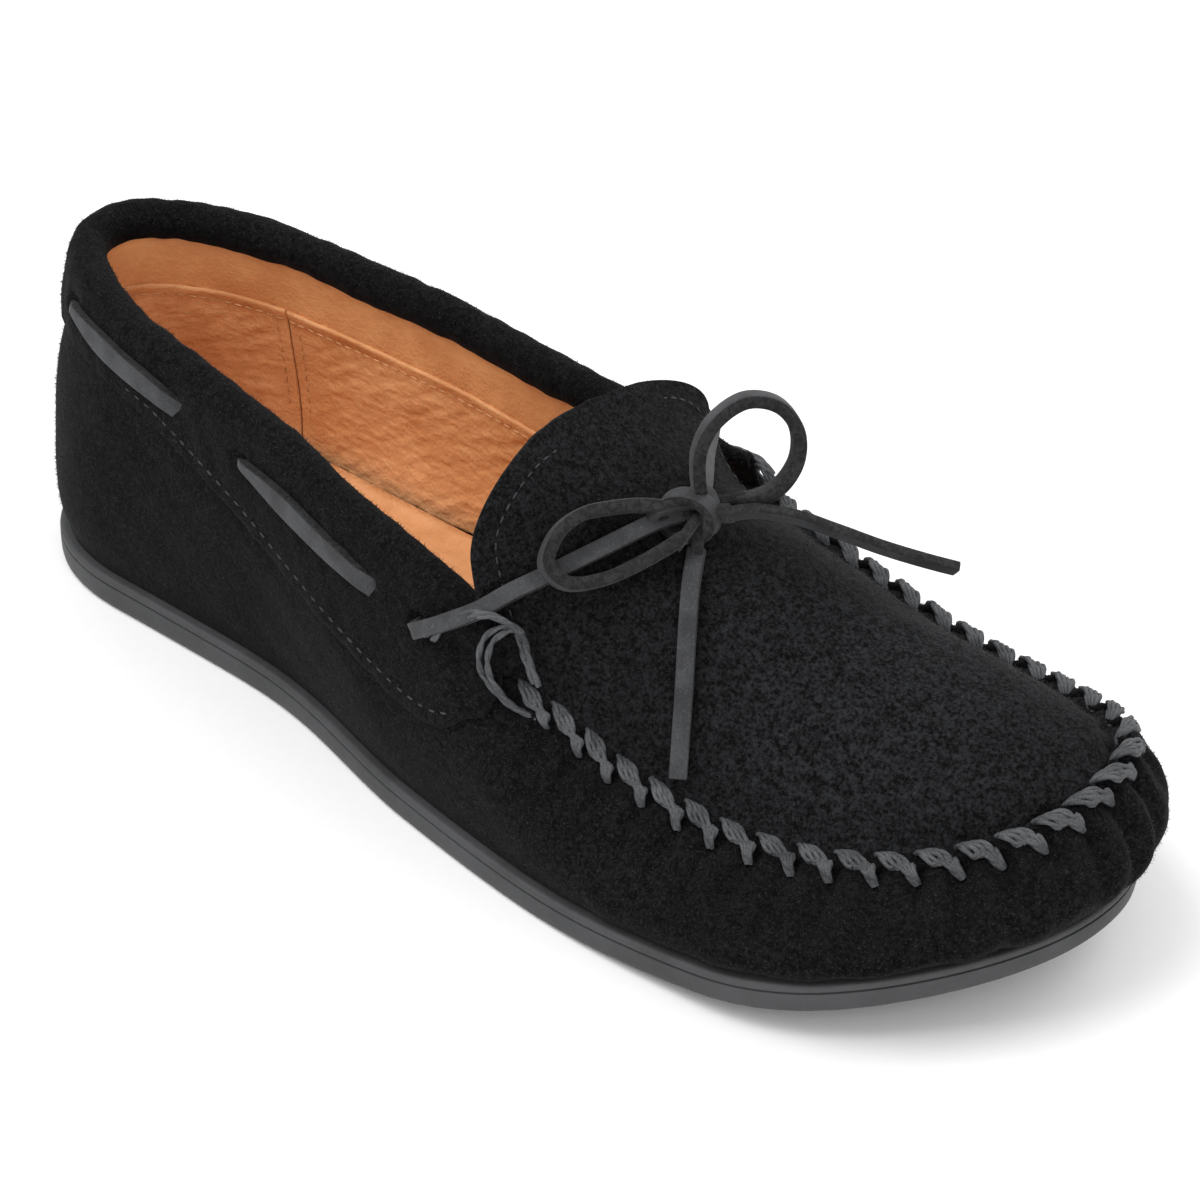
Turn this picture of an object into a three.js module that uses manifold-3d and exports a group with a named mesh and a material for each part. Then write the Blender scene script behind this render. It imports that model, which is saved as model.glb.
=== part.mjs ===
// Handsewn suede moccasin with a rubber cup sole, built up as it is on the bench:
// sole, insole, lasted vamp, padded collar cuff, plug and tongue, whip-sewn seam and a thong laced round
// the collar and tied in a bow. Millimetres, +X to the toe, +Y to the inner side of the foot, +Z up.
import * as THREE from 'three';
import { mergeVertices } from 'three/addons/utils/BufferGeometryUtils.js';
import Module from 'manifold-3d';

const wasm = await Module();
wasm.setup();

// ---- Driving dimensions ----
const LENGTH = 290;             // outsole, heel to toe
const HEEL_WIDTH = 68;          // outsole across the heel seat
const BALL_WIDTH = 103;         // outsole across the ball of the foot
const SOLE_HEEL = 8.3;          // outsole edge height at the heel
const SOLE_TOE = 6.8;           // outsole edge height at the toe
const TOE_SPRING = 15;          // lift of the sole's underside at the toe
const COLLAR_HEEL = 80;         // top of the collar roll above the ground, at the heel
const COLLAR_QUARTER = 74;      // the same, beside the ankle
const COLLAR_THROAT = 66;       // the same, at the throat
const SEAM_THROAT = 50;         // height of the plug seam where it starts
const SEAM_BALL = 32.6;         // its lowest height, beside the ball
const SEAM_TOE = 42.6;          // its height at the toe tip
const PLUG_WIDTH = 81;          // plug across the throat
const OPENING_HEEL = 40;        // collar roll, centre to centre, at the heel
const OPENING_THROAT = 77;      // the same, at the throat
const INSTEP = 68.5;            // height of the plug's ridge under the knot
const TONGUE_RISE = 21;         // how far the tongue stands above that ridge
const SUEDE = 1.6;              // vamp and plug leather
const CUFF = 1.3;               // collar leather
const LINING = 1.0;             // lining leather
const BACKING = 0.8;            // thin lining of the vamp, plug and tongue
const COUNTER = 1.2;            // heel counter board
const ROLL = 4.8;               // outer radius of the padded collar roll
const BOARD = 2.0;              // insole board
const CUSHION = 2.4;            // foam under the sock liner
const LACE_WIDTH = 4.0;
const LACE_THICK = 2.2;
const SEAM_CORD = 3.4;          // diameter of the whip-sewn thread bead on the seam

// ---- Clearances and small shared sizes ----
const GAP = 0.35;               // between pieces that touch
const CURVED_GAP = 0.6;         // between curved layers of the upper
const FEATHER_INSET = 2.5;      // upper stands this far inside the sole edge
const SOLE_FLOOR = 3.6;         // rubber under the cup's pocket
const SOLE_RIM = 9;             // width of the cup's rim
const LASTING_MARGIN = 11;      // turned-in lower edge of the vamp
const BAND = 15;                // height of the tan collar band
const BAND_TOP = 7;             // part of the band that stands above the vamp's top edge
const FOOTBED_ROOM = 3.8;       // footbed's edge clear of the lining, which leans in at the toe
const COLLAR_BACK = 7;          // collar roll's middle line inside the heel end of the outsole
const COLLAR_FRONT = 11.5;      // the same line's reach short of the toe end
const COLLAR_RISE = 2.2;        // rise of the collar towards the inner side, over TILT_WIDTH
const SEAM_BACK = 3;            // vamp's top edge inside the heel end
const SEAM_FRONT = 7.5;         // plug seam inside the toe end
const TILT_WIDTH = 40;
const TUCK_HEEL = 9.5;          // vamp's top edge below the roll's middle line, at the heel
const TUCK_THROAT = 12;         // the same, at the throat
const ROLL_TUCK = 0.4;          // vamp and lining run up under the roll, this far inside its radius
const LACE_LIFT = 2.8;          // hidden lace above the vamp's top edge
const LACE_SHOWN_LIFT = 5.4;    // the same where the lace shows outside
const SEAM_REACH = 0.41;        // share of the length that the plug covers
const CUFF_END = 0.585;         // share of the length where the collar ends
const AROUND = 60;              // steps round the shoe
const HEEL_SEAM = 0.012;        // half of the angle left open at the vamp's heel seam
const WALL_ROWS = 8;            // steps up the side of the upper
const TURN = 2 * Math.PI;

const LOOKS = {
  suede: { color: 0x131313, roughness: 0.95 },
  tan: { color: 0xb9743a, roughness: 0.7 },
  rubber: { color: 0x3a3a3b, roughness: 0.8 },
  thong: { color: 0x2f3031, roughness: 0.75 },
  thread: { color: 0x3c3d3f, roughness: 0.7 },
  foam: { color: 0xd8cfae, roughness: 0.9 },
  board: { color: 0x8a7452, roughness: 0.9 },
  cloth: { color: 0x6b5a48, roughness: 0.9 },
};

// ---- Small maths ----
const clamp = (value, low, high) => Math.min(high, Math.max(low, value));
const mix = (a, b, share) => a + (b - a) * share;
const smooth = (from, to, value) => {
  const share = clamp((value - from) / (to - from), 0, 1);
  return share * share * (3 - 2 * share);
};

// A smooth curve through [place, value] stops, held level beyond the last of them.
function along(place, stops) {
  const last = stops.length - 1;
  if (place <= stops[0][0]) return stops[0][1];
  if (place >= stops[last][0]) return stops[last][1];
  const i = stops.findIndex((stop, k) => place < stops[k + 1][0]);
  const slope = (k) => {
    const before = stops[Math.max(k - 1, 0)];
    const after = stops[Math.min(k + 1, last)];
    return (after[1] - before[1]) / (after[0] - before[0]);
  };
  const [x0, y0] = stops[i];
  const [x1, y1] = stops[i + 1];
  const span = x1 - x0;
  const t = (place - x0) / span;
  const bend0 = slope(i) * span;
  const bend1 = slope(i + 1) * span;
  return y0 + t * (bend0 + t * (3 * (y1 - y0) - 2 * bend0 - bend1 + t * (2 * (y0 - y1) + bend0 + bend1)));
}

// Rises from 0 to 1 over `reach` as a superellipse quarter, which rounds the end of an outline.
function rounded(distance, reach, power) {
  const rest = clamp(1 - distance / reach, 0, 1);
  return (1 - rest ** power) ** (1 / power);
}

// ---- The last: loops round the shoe. Angle 0 is the heel, PI the toe, and the outer side comes first ----
const share = (angle) => (1 - Math.cos(angle)) / 2;
const side = (angle) => (Math.sin(angle) >= 0 ? -1 : 1);

const soleCentre = (s) => along(s, [[0, 1], [0.3, 0], [0.5, -4.5], [0.75, -1], [0.87, 0.5], [1, 7]]);
const soleHalf = (s) => along(s, [[0, HEEL_WIDTH / 2], [0.2, HEEL_WIDTH / 2], [0.35, 0.515 * HEEL_WIDTH],
  [0.5, 0.41 * BALL_WIDTH], [0.7, BALL_WIDTH / 2], [0.87, 0.49 * BALL_WIDTH], [1, 0.42 * BALL_WIDTH]]);

function soleEdge(angle) {
  const s = share(angle);
  const ends = rounded(s, 0.14, 2.2) * rounded(1 - s, 0.2, 2.1);
  return new THREE.Vector2((s - 0.5) * LENGTH, soleCentre(s) + side(angle) * soleHalf(s) * ends);
}

const soleLift = (s) => TOE_SPRING * clamp((s - 0.62) / 0.38, 0, 1) ** 2;
const soleTop = (s) => soleLift(s) + mix(SOLE_HEEL, SOLE_TOE, s);

// Outward direction of a loop in plan.
function outward(loop, angle) {
  const before = loop(angle - 0.02);
  const after = loop(angle + 0.02);
  return new THREE.Vector3(after.y - before.y, before.x - after.x, 0).normalize();
}

// A point inset from the sole's edge, at the height that `height` gives for its share of the length.
function insetSole(angle, inset, height) {
  const edge = soleEdge(angle);
  const point = new THREE.Vector3(edge.x, edge.y, 0).addScaledVector(outward(soleEdge, angle), -inset);
  return point.setZ(height(point.x / LENGTH + 0.5));
}

const footCentre = (s) => along(s, [[0, 1], [0.3, 0], [0.45, -3.5], [0.58, -2.5], [0.65, 1], [0.8, 6.2],
  [1, 13.3]]);

// Centre line of the collar roll, and the height of that line.
const rollRadius = (s) => ROLL * along(s, [[0, 1], [0.45, 1], [CUFF_END, 0.8]]);
const openingHalf = (s) => mix(OPENING_HEEL, OPENING_THROAT, s / 0.6) / 2;
const rollHalf = (s) => openingHalf(s) * rounded(s, 0.175, 2.2);
const rollHeight = (s) => along(s, [[0, COLLAR_HEEL], [0.3, COLLAR_QUARTER],
  [0.43, mix(COLLAR_QUARTER, COLLAR_THROAT, 0.42)], [CUFF_END, COLLAR_THROAT],
  [0.7, COLLAR_THROAT - 3]]) - ROLL;

function rollLine(angle) {
  const s = share(angle);
  const x = -LENGTH / 2 + COLLAR_BACK + (LENGTH - COLLAR_BACK - COLLAR_FRONT) * s;
  const y = footCentre(s) + side(angle) * rollHalf(s);
  return new THREE.Vector3(x, y, rollHeight(s) + COLLAR_RISE * (y - footCentre(s)) / TILT_WIDTH);
}

// Where the side of the collar comes down from the roll.
function rollFoot(angle) {
  const reach = rollRadius(share(angle)) - CUFF - CURVED_GAP;
  return rollLine(angle).addScaledVector(outward(rollLine, angle), reach);
}

// Top edge of the vamp: tucked under the collar behind the throat, and the plug seam in front of it.
function vampTop(angle) {
  const s = share(angle);
  const front = smooth(0.5, 0.66, s);
  const seamHalf = PLUG_WIDTH / 2 * rounded(1 - s, SEAM_REACH, 2.7);
  const half = mix((openingHalf(s) + ROLL - ROLL_TUCK) * rounded(s, 0.16, 2.2), seamHalf, front);
  const seam = along(s, [[0.5, SEAM_THROAT + 3], [0.6, SEAM_THROAT], [0.66, SEAM_THROAT - 6],
    [0.7, mix(SEAM_BALL, SEAM_THROAT, 0.38)], [0.8, SEAM_BALL], [0.9, SEAM_BALL + 1.5], [1, SEAM_TOE]]);
  const tucked = rollHeight(s) - mix(TUCK_HEEL, TUCK_THROAT, s / CUFF_END);
  const tilt = along(s, [[0, 0], [0.3, COLLAR_RISE], [0.55, 3.5], [0.7, 6.3], [1, 6.3]]);
  const y = side(angle) * half * (1 - 0.02 * front);
  const x = -LENGTH / 2 + SEAM_BACK + (LENGTH - SEAM_BACK - SEAM_FRONT) * s;
  return new THREE.Vector3(x, footCentre(s) + y, mix(tucked, seam, front) + tilt * y / TILT_WIDTH);
}

const feather = (angle) => insetSole(angle, FEATHER_INSET, (s) => soleTop(s) + GAP);
// A wall that leans in further also swells more, which leaves room for the foot.
const fullness = (s) => along(s, [[0, 3.6], [0.6, 3.6], [0.85, 5], [1, 7.5]]);
const FULLNESS_BY_LEAN = 0.28;

// Outer face of the upper: 0 at the feather, 1 at the vamp's top edge, 2 at the foot of the collar roll.
function wall(angle, level) {
  const s = share(angle);
  const low = feather(angle);
  const top = vampTop(angle);
  if (level > 1) return top.lerp(rollFoot(angle), level - 1);
  const rise = top.clone().sub(low);
  const out = outward(soleEdge, angle);
  const lean = Math.max(0, -rise.dot(out));
  const push = out.multiplyScalar(4 * (fullness(s) + FULLNESS_BY_LEAN * lean));
  const start = rise.clone().add(push);
  const ahead = rollFoot(angle).sub(top).setLength(rise.length());
  const end = rise.clone().sub(push).lerp(ahead, 1 - smooth(0.5, 0.62, s));
  const t = level;
  return low.multiplyScalar(1 + t * t * (2 * t - 3))
    .addScaledVector(start, t * (1 + t * (t - 2)))
    .addScaledVector(top, t * t * (3 - 2 * t))
    .addScaledVector(end, t * t * (t - 1));
}

function wallNormal(angle, level) {
  const low = level > 1 ? 1.001 : 0.0;
  const high = level > 1 ? 2.0 : 1.0;
  const round = wall(angle + 0.02, level).sub(wall(angle - 0.02, level));
  const up = wall(angle, Math.min(level + 0.05, high)).sub(wall(angle, Math.max(level - 0.05, low)));
  return round.cross(up).normalize();
}

// A point `depth` inside the upper's outer face.
const inside = (angle, level, depth) => wall(angle, level).addScaledVector(wallNormal(angle, level), -depth);
const wallHeight = (angle) => vampTop(angle).distanceTo(feather(angle));
const tuckHeight = (angle) => rollFoot(angle).distanceTo(vampTop(angle));

// ---- Solids ----
function signedVolume(points, faces) {
  let volume = 0;
  for (let i = 0; i < faces.length; i += 3) {
    const [a, b, c] = [points[faces[i]], points[faces[i + 1]], points[faces[i + 2]]];
    volume += a.dot(b.clone().cross(c)) / 6;
  }
  return volume;
}

function solid(points, faces) {
  const geometry = new THREE.BufferGeometry();
  const order = signedVolume(points, faces) < 0 ? faces.slice().reverse() : faces;
  geometry.setAttribute('position', new THREE.Float32BufferAttribute(points.flatMap((p) => p.toArray()), 3));
  geometry.setIndex(order);
  return geometry;
}

// Fills a flat-ish ring of points with triangles.
function capFaces(ring, first) {
  const normal = new THREE.Vector3();
  ring.forEach((p, i) => normal.add(p.clone().cross(ring[(i + 1) % ring.length])));
  normal.normalize();
  const across = Math.abs(normal.z) > 0.9 ? new THREE.Vector3(1, 0, 0) : new THREE.Vector3(0, 0, 1);
  const u = across.cross(normal).normalize();
  const v = normal.clone().cross(u);
  const flat = ring.map((p) => new THREE.Vector2(p.dot(u), p.dot(v)));
  return THREE.ShapeUtils.triangulateShape(flat, []).flatMap((tri) => tri.map((k) => first + k));
}

// Joins equal rings of points into a solid that is closed on itself or capped at its ends.
function loft(rings, closed = false) {
  const count = rings[0].length;
  const faces = [];
  const bands = closed ? rings.length : rings.length - 1;
  for (let i = 0; i < bands; i += 1) {
    const next = (i + 1) % rings.length;
    for (let j = 0; j < count; j += 1) {
      const k = (j + 1) % count;
      faces.push(i * count + j, i * count + k, next * count + k);
      faces.push(i * count + j, next * count + k, next * count + j);
    }
  }
  if (!closed) {
    faces.push(...capFaces(rings[0], 0).reverse());
    faces.push(...capFaces(rings.at(-1), (rings.length - 1) * count));
  }
  return solid(rings.flat(), faces);
}

const steps = (count) => Array.from({ length: count + 1 }, (_, i) => i / count);
const span = (from, to, count) => steps(count).map((t) => mix(from, to, t));

// A layer of the upper between two angles, from low(angle) to high(angle) and from outer to inner depth.
function layer(from, to, low, high, outer, inner, rows = WALL_ROWS) {
  const count = Math.max(6, Math.round(AROUND * (to - from) / TURN));
  return loft(span(from, to, count).map((angle) => {
    const levels = span(low(angle), high(angle), rows);
    const face = levels.map((level) => inside(angle, level, outer(angle)));
    return face.concat(levels.reverse().map((level) => inside(angle, level, inner(angle))));
  }));
}

// A flat plate that follows the sole's outline and lift.
function plate(inset, bottom, top) {
  const ring = (height) => span(0, TURN, AROUND).slice(1).map((angle) => insetSole(angle, inset, height));
  return spined([ring(bottom), ring(top)]);
}

// Closes a stack of outline rings with crosswise strips, so that the faces follow the lift of the toe.
function spined(rings) {
  const count = rings[0].length;
  const faces = [];
  rings.slice(1).forEach((ring, level) => {
    for (let j = 0; j < count; j += 1) {
      const k = (j + 1) % count;
      const a = level * count;
      const b = a + count;
      faces.push(a + j, a + k, b + k, a + j, b + k, b + j);
    }
  });
  const strip = (first) => {
    const list = [];
    const at = (j) => first + (j + count) % count;
    const tip = count - 1;
    for (let j = 0; j < count / 2; j += 1) {
      const [a, b, c, d] = [at(tip + j), at(tip + j + 1), at(tip - j), at(tip - j - 1)];
      if (a !== c) list.push(a, c, b);
      if (b !== d) list.push(c, d, b);
    }
    return list;
  };
  faces.push(...strip(0), ...strip((rings.length - 1) * count).reverse());
  return solid(rings.flat(), faces);
}

const toManifold = (geometry) => {
  const plain = mergeVertices(geometry.clone().deleteAttribute('normal').deleteAttribute('uv'));
  return new wasm.Manifold(new wasm.Mesh({
    numProp: 3,
    vertProperties: Float32Array.from(plain.attributes.position.array),
    triVerts: Uint32Array.from(plain.index.array),
  }));
};

function fromManifold(body) {
  const { vertProperties, triVerts } = body.getMesh();
  const geometry = new THREE.BufferGeometry();
  geometry.setAttribute('position', new THREE.Float32BufferAttribute(vertProperties, 3));
  geometry.setIndex(Array.from(triVerts));
  return geometry;
}

function subtract(geometry, tools) {
  return fromManifold(tools.reduce((body, tool) => body.subtract(toManifold(tool)), toManifold(geometry)));
}

// ---- Sole unit ----
const SOLE_BEVEL = 1.2;         // rounding of the tread's edge
const SOLE_DRAFT = 0.2;         // side wall inside the outline
const LIP_DROP = 1.4;           // rounding of the rim's outer edge, down the side
const LIP_INSET = 0.9;          // the same, across the rim
const POCKET_DRAFT = 0.5;       // slope of the pocket's wall

function outsole() {
  const ring = (inset, height) => span(0, TURN, AROUND).slice(1)
    .map((angle) => insetSole(angle, inset, height));
  const body = spined([
    ring(SOLE_BEVEL, soleLift),
    ring(SOLE_DRAFT, (s) => soleLift(s) + SOLE_BEVEL),
    ring(SOLE_DRAFT, (s) => soleTop(s) - LIP_DROP),
    ring(LIP_INSET, soleTop),
    ring(SOLE_RIM, soleTop),
    ring(SOLE_RIM + POCKET_DRAFT, (s) => soleLift(s) + SOLE_FLOOR),
  ]);
  return subtract(body, treadGrooves());
}

const GROOVE_INSET = 9;         // grooves stop this far inside the outline
const GROOVE = 2.4;             // width and depth of a groove
const HEEL_GROOVES = span(0.07, 0.27, 5);
const FOREFOOT_GROOVES = span(0.58, 0.9, 8);

// Cross grooves under the forefoot and heel; the waist stays flat.
function treadGrooves() {
  return [...HEEL_GROOVES, ...FOREFOOT_GROOVES].map((s) => {
    const angle = Math.acos(1 - 2 * s);
    const near = insetSole(angle, GROOVE_INSET, soleLift);
    const far = insetSole(TURN - angle, GROOVE_INSET, soleLift);
    const groove = new THREE.BoxGeometry(GROOVE, far.y - near.y, GROOVE);
    groove.translate((near.x + far.x) / 2, (near.y + far.y) / 2, near.z);
    return groove;
  });
}

const pocketClear = SOLE_RIM + POCKET_DRAFT + GAP;
const midsole = () => plate(pocketClear, (s) => soleLift(s) + SOLE_FLOOR + GAP, (s) => soleTop(s) - GAP);
const boardFloor = (s) => soleTop(s) + 2 * GAP + SUEDE;
const boardInset = FEATHER_INSET + SUEDE + 2 * GAP;
const insoleBoard = () => plate(boardInset, boardFloor, (s) => boardFloor(s) + BOARD);
const cushionFloor = (s) => boardFloor(s) + BOARD + GAP;
const footbedInset = FEATHER_INSET + 2 * SUEDE + COUNTER + LINING + 2 * CURVED_GAP + FOOTBED_ROOM;
const sockCushion = () => plate(footbedInset, cushionFloor, (s) => cushionFloor(s) + CUSHION);
const linerFloor = (s) => cushionFloor(s) + CUSHION + GAP;
const sockLiner = () => plate(footbedInset, linerFloor, (s) => linerFloor(s) + LINING);

// ---- Upper ----
function vamp() {
  const rings = span(HEEL_SEAM, TURN - HEEL_SEAM, AROUND).map((angle) => {
    const levels = span(0, 1, WALL_ROWS);
    const face = levels.map((level) => wall(angle, level));
    const back = levels.slice(1).reverse().map((level) => inside(angle, level, SUEDE));
    const turnIn = FEATHER_INSET + LASTING_MARGIN;
    const floor = (s) => soleTop(s) + GAP;
    const top = (s) => floor(s) + SUEDE;
    const margin = [[FEATHER_INSET + SUEDE, top], [turnIn, top], [turnIn, floor]];
    return face.concat(back, margin.map(([inset, height]) => insetSole(angle, inset, height)));
  });
  return loft(rings);
}

const behindVamp = SUEDE + CURVED_GAP;
const liningDepth = (angle) => behindVamp + (COUNTER + CURVED_GAP) * (1 - smooth(0.52, 0.62, share(angle)));
const liningBack = (angle) => liningDepth(angle) + LINING;
// Lowest level that clears the insole board, and the level where the collar band's lower edge runs.
const footLevel = (angle) => (3 * GAP + SUEDE + BOARD) / wallHeight(angle) + FOOT_SLACK;
const bandLevel = (angle) => 1 - (BAND - BAND_TOP) / wallHeight(angle);
const collarLevel = (angle) => 2 - (ROLL - ROLL_TUCK) / tuckHeight(angle);

const fixed = (value) => () => value;
const FOOT_SLACK = 0.03;        // share of the side's height left under the linings
const COUNTER_TOP = 0.86;       // share of the side's height that the heel counter reaches
const SEAM_CLEAR = 0.93;        // the same for the toe's lining
const PANEL_GAP = 0.5;          // between the lower lining panels and the collar band
const COUNTER_REACH = 0.36 * Math.PI;
const HEEL_LINING_REACH = 0.24 * Math.PI;
const LINING_END = Math.acos(1 - 2 * 0.56);
const COLLAR_END = Math.acos(1 - 2 * CUFF_END);
const SEAM_SLACK = 0.012;       // angle left open between neighbouring lining pieces

const heelCounter = () => layer(-COUNTER_REACH, COUNTER_REACH, footLevel, fixed(COUNTER_TOP),
  fixed(behindVamp), fixed(behindVamp + COUNTER));
const belowBand = (angle) => bandLevel(angle) - PANEL_GAP / wallHeight(angle);
const lowerLining = (from, to) => layer(from + SEAM_SLACK, to - SEAM_SLACK, footLevel, belowBand,
  liningDepth, liningBack);
const vampLining = () => layer(LINING_END + SEAM_SLACK, TURN - LINING_END - SEAM_SLACK, footLevel,
  fixed(SEAM_CLEAR), fixed(behindVamp), fixed(behindVamp + BACKING));

function collarLining() {
  const rows = 4;
  const rings = span(-LINING_END, LINING_END, 44).map((angle) => {
    const low = bandLevel(angle);
    const levels = [...span(low, 1, rows), ...span(1, collarLevel(angle), 2).slice(1)];
    const face = levels.map((level) => inside(angle, level, liningDepth(angle)));
    return face.concat(levels.reverse().map((level) => inside(angle, level, liningBack(angle))));
  });
  return loft(rings);
}

// ---- Collar cuff: an outer leaf over the vamp's edge, rolled over a foam bead ----
const lapDepth = (s) => along(s, [[0, 2.5], [0.17, 3], [0.28, 7.5], [0.37, 12], [0.5, 16], [0.555, 14.5],
  [CUFF_END, 9]]);

function rollPoint(angle, radius, degrees) {
  const turn = degrees * Math.PI / 180;
  return rollLine(angle)
    .addScaledVector(outward(rollLine, angle), radius * Math.cos(turn))
    .add(new THREE.Vector3(0, 0, radius * Math.sin(turn)));
}

function cuffRing(angle) {
  const s = share(angle);
  const low = 1 - lapDepth(s) / wallHeight(angle);
  const levels = [...span(low, 1, 2), 1.5];
  const radius = rollRadius(s);
  const leaf = levels.map((level) => inside(angle, level, -CURVED_GAP - CUFF));
  const back = levels.map((level) => inside(angle, level, -CURVED_GAP));
  const over = span(8, 228, 7).map((degrees) => rollPoint(angle, radius, degrees));
  const under = span(8, 228, 7).map((degrees) => rollPoint(angle, radius - CUFF, degrees));
  return [...leaf, ...over, ...under.reverse(), ...back.reverse()];
}

const cuffBlank = () => loft(span(-COLLAR_END, COLLAR_END, 50).map(cuffRing));
const FOAM_END = Math.acos(1 - 2 * 0.55);
const collarFoam = () => loft(span(-FOAM_END, FOAM_END, 44).map((angle) => {
  const radius = rollRadius(share(angle)) - CUFF - GAP;
  return span(0, 360, 8).slice(1).map((degrees) => rollPoint(angle, radius, degrees));
}));

// ---- Lace: in and out of slits in the cuff. A shown stretch runs between two shares of the length ----
const SHOWN = [[0.055, 0.215], [0.3, 0.475]];
const LAST_SLIT = 0.525;
const SLIT_RAMP = 0.03;         // share of the length over which the lace passes through the leather
const SLIT_REACH = 0.037;       // half the share that each slit is cut along
const HIDDEN_DEPTH = GAP + LACE_THICK / 2;
const SHOWN_DEPTH = -(CURVED_GAP + CUFF + GAP + LACE_THICK / 2);

function laceShown(s) {
  const passed = (slit) => smooth(slit - SLIT_RAMP / 2, slit + SLIT_RAMP / 2, s);
  const shown = [...SHOWN, [LAST_SLIT, 2]].map(([from, to]) => passed(from) * (1 - passed(to)));
  return Math.max(...shown);
}

function laceRing(angle, width, thick) {
  const s = share(angle);
  const shown = laceShown(s);
  const level = 1 + mix(LACE_LIFT, LACE_SHOWN_LIFT, shown) / tuckHeight(angle);
  const half = width / 2 / tuckHeight(angle);
  const depth = mix(HIDDEN_DEPTH, SHOWN_DEPTH, shown);
  return [[-half, -thick], [half, -thick], [half, thick], [-half, thick]]
    .map(([up, deep]) => inside(angle, level + up, depth + deep / 2));
}

const LACE_END = Math.acos(1 - 2 * (LAST_SLIT + 0.8 * SLIT_RAMP));
const laceInCollar = () => loft(span(-LACE_END, LACE_END, 110)
  .map((angle) => laceRing(angle, LACE_WIDTH, LACE_THICK)));

function slitTools() {
  const room = 4 * GAP;
  const crossings = [...SHOWN.flat(), LAST_SLIT];
  return crossings.flatMap((s) => [-1, 1].map((hand) => {
    const from = Math.acos(1 - 2 * (s - SLIT_REACH));
    const to = Math.acos(1 - 2 * (s + SLIT_REACH));
    return loft(span(hand * from, hand * to, 8)
      .map((angle) => laceRing(angle, LACE_WIDTH + room, LACE_THICK + room)));
  }));
}

const collarCuff = () => subtract(cuffBlank(), slitTools());

// ---- Plug and tongue: one sheet, ruled by rows that cross the foot ----
const PLUG_START = 0.603;        // share of the length where the plug's seam begins
const PLUG_INSET = SUEDE + GAP; // plug's edge inside the vamp's outer face
const BASE_BOW = 17;            // how far the throat row bows forward in its middle
const KNOT_BACK = 2.04;         // knot behind the throat row's middle
const TONGUE_REACH = 14.04;     // tongue's rear edge behind the plug's rear corners
const TONGUE_HALF = 36.5;       // half of the tongue's rear edge
const HINGE_ROW = 0.34;         // share of the tongue that stays with the plug
const HINGE_SLOT = 0.09;        // share left open between the fixed and the moving part
const THROAT_ROW = 0.04;        // share of the tongue where its first row ahead of the plug lies
const CORNER_BACK = 1.5;        // tongue's rear corners ahead of its middle
const CORNER_OUTER = 2.5;       // outer rear corner below the middle
const CORNER_INNER = 8;         // inner rear corner below the middle
const WAIST_OUTER = 2.5;        // how far the tongue's outer edge draws in half way up
const WAIST_INNER = 6.5;        // the same for its inner edge
const LINING_SHORT = 0.26;      // angle by which the plug's lining stops short of its tip
const LINING_NARROW = 0.08;     // share by which it is narrower at each edge

const throatAngle = Math.acos(1 - 2 * PLUG_START);
const THROAT_X = vampTop(throatAngle).x;
const KNOT_X = THROAT_X + BASE_BOW - KNOT_BACK;
const TONGUE_BACK = THROAT_X - TONGUE_REACH;
const plugEdge = (angle) => vampTop(angle).addScaledVector(outward(vampTop, angle), -PLUG_INSET);

function ridge(x) {
  const reach = (x - KNOT_X) / (LENGTH / 2 - SEAM_FRONT - KNOT_X);
  return along(reach, [[-0.5, INSTEP + 17], [0, INSTEP - 1], [0.2, INSTEP - 7.5], [0.4, INSTEP - 12.5],
    [0.68, INSTEP - 17.5], [0.88, mix(SEAM_TOE, INSTEP, 0.2)], [1, SEAM_TOE]]);
}

// Three points give a row: its outer-side edge, its middle and its inner-side edge.
function row([near, middle, far], count) {
  return span(-1, 1, count).map((w) => {
    const bow = near.clone().add(far).multiplyScalar(0.5).sub(middle).multiplyScalar(w * w);
    return middle.clone().add(bow).addScaledVector(far.clone().sub(near), w / 2);
  });
}

function plugRow(angle) {
  const near = plugEdge(angle);
  const far = plugEdge(TURN - angle);
  const bow = BASE_BOW * (1 - smooth(PLUG_START - 0.08, 0.82, share(angle)));
  const x = (near.x + far.x) / 2 + bow;
  return [near, new THREE.Vector3(x, (near.y + far.y) / 2, ridge(x)), far];
}

function tongueRow(rise) {
  const [near, middle, far] = plugRow(throatAngle);
  const top = INSTEP + TONGUE_RISE;
  const rear = [
    new THREE.Vector3(TONGUE_BACK + CORNER_BACK, -TONGUE_HALF, top - CORNER_OUTER),
    new THREE.Vector3(TONGUE_BACK, 0, top),
    new THREE.Vector3(TONGUE_BACK + CORNER_BACK, TONGUE_HALF, top - CORNER_INNER),
  ];
  const waist = Math.sin(Math.PI * rise);
  const edge = (from, to, hand) => from.clone().lerp(to, rise).add(new THREE.Vector3(0, hand * waist, 0));
  return [
    edge(near, rear[0], WAIST_OUTER),
    middle.clone().lerp(rear[1], rise),
    edge(far, rear[2], -WAIST_INNER),
  ];
}

const SHEET_STEPS = 8;
const plugRows = (end) => [
  ...span(HINGE_ROW, THROAT_ROW, 3).map(tongueRow),
  ...span(throatAngle, end, 16).map(plugRow),
];
const freeRows = () => span(HINGE_ROW + HINGE_SLOT, 1, 6).map(tongueRow);

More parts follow.
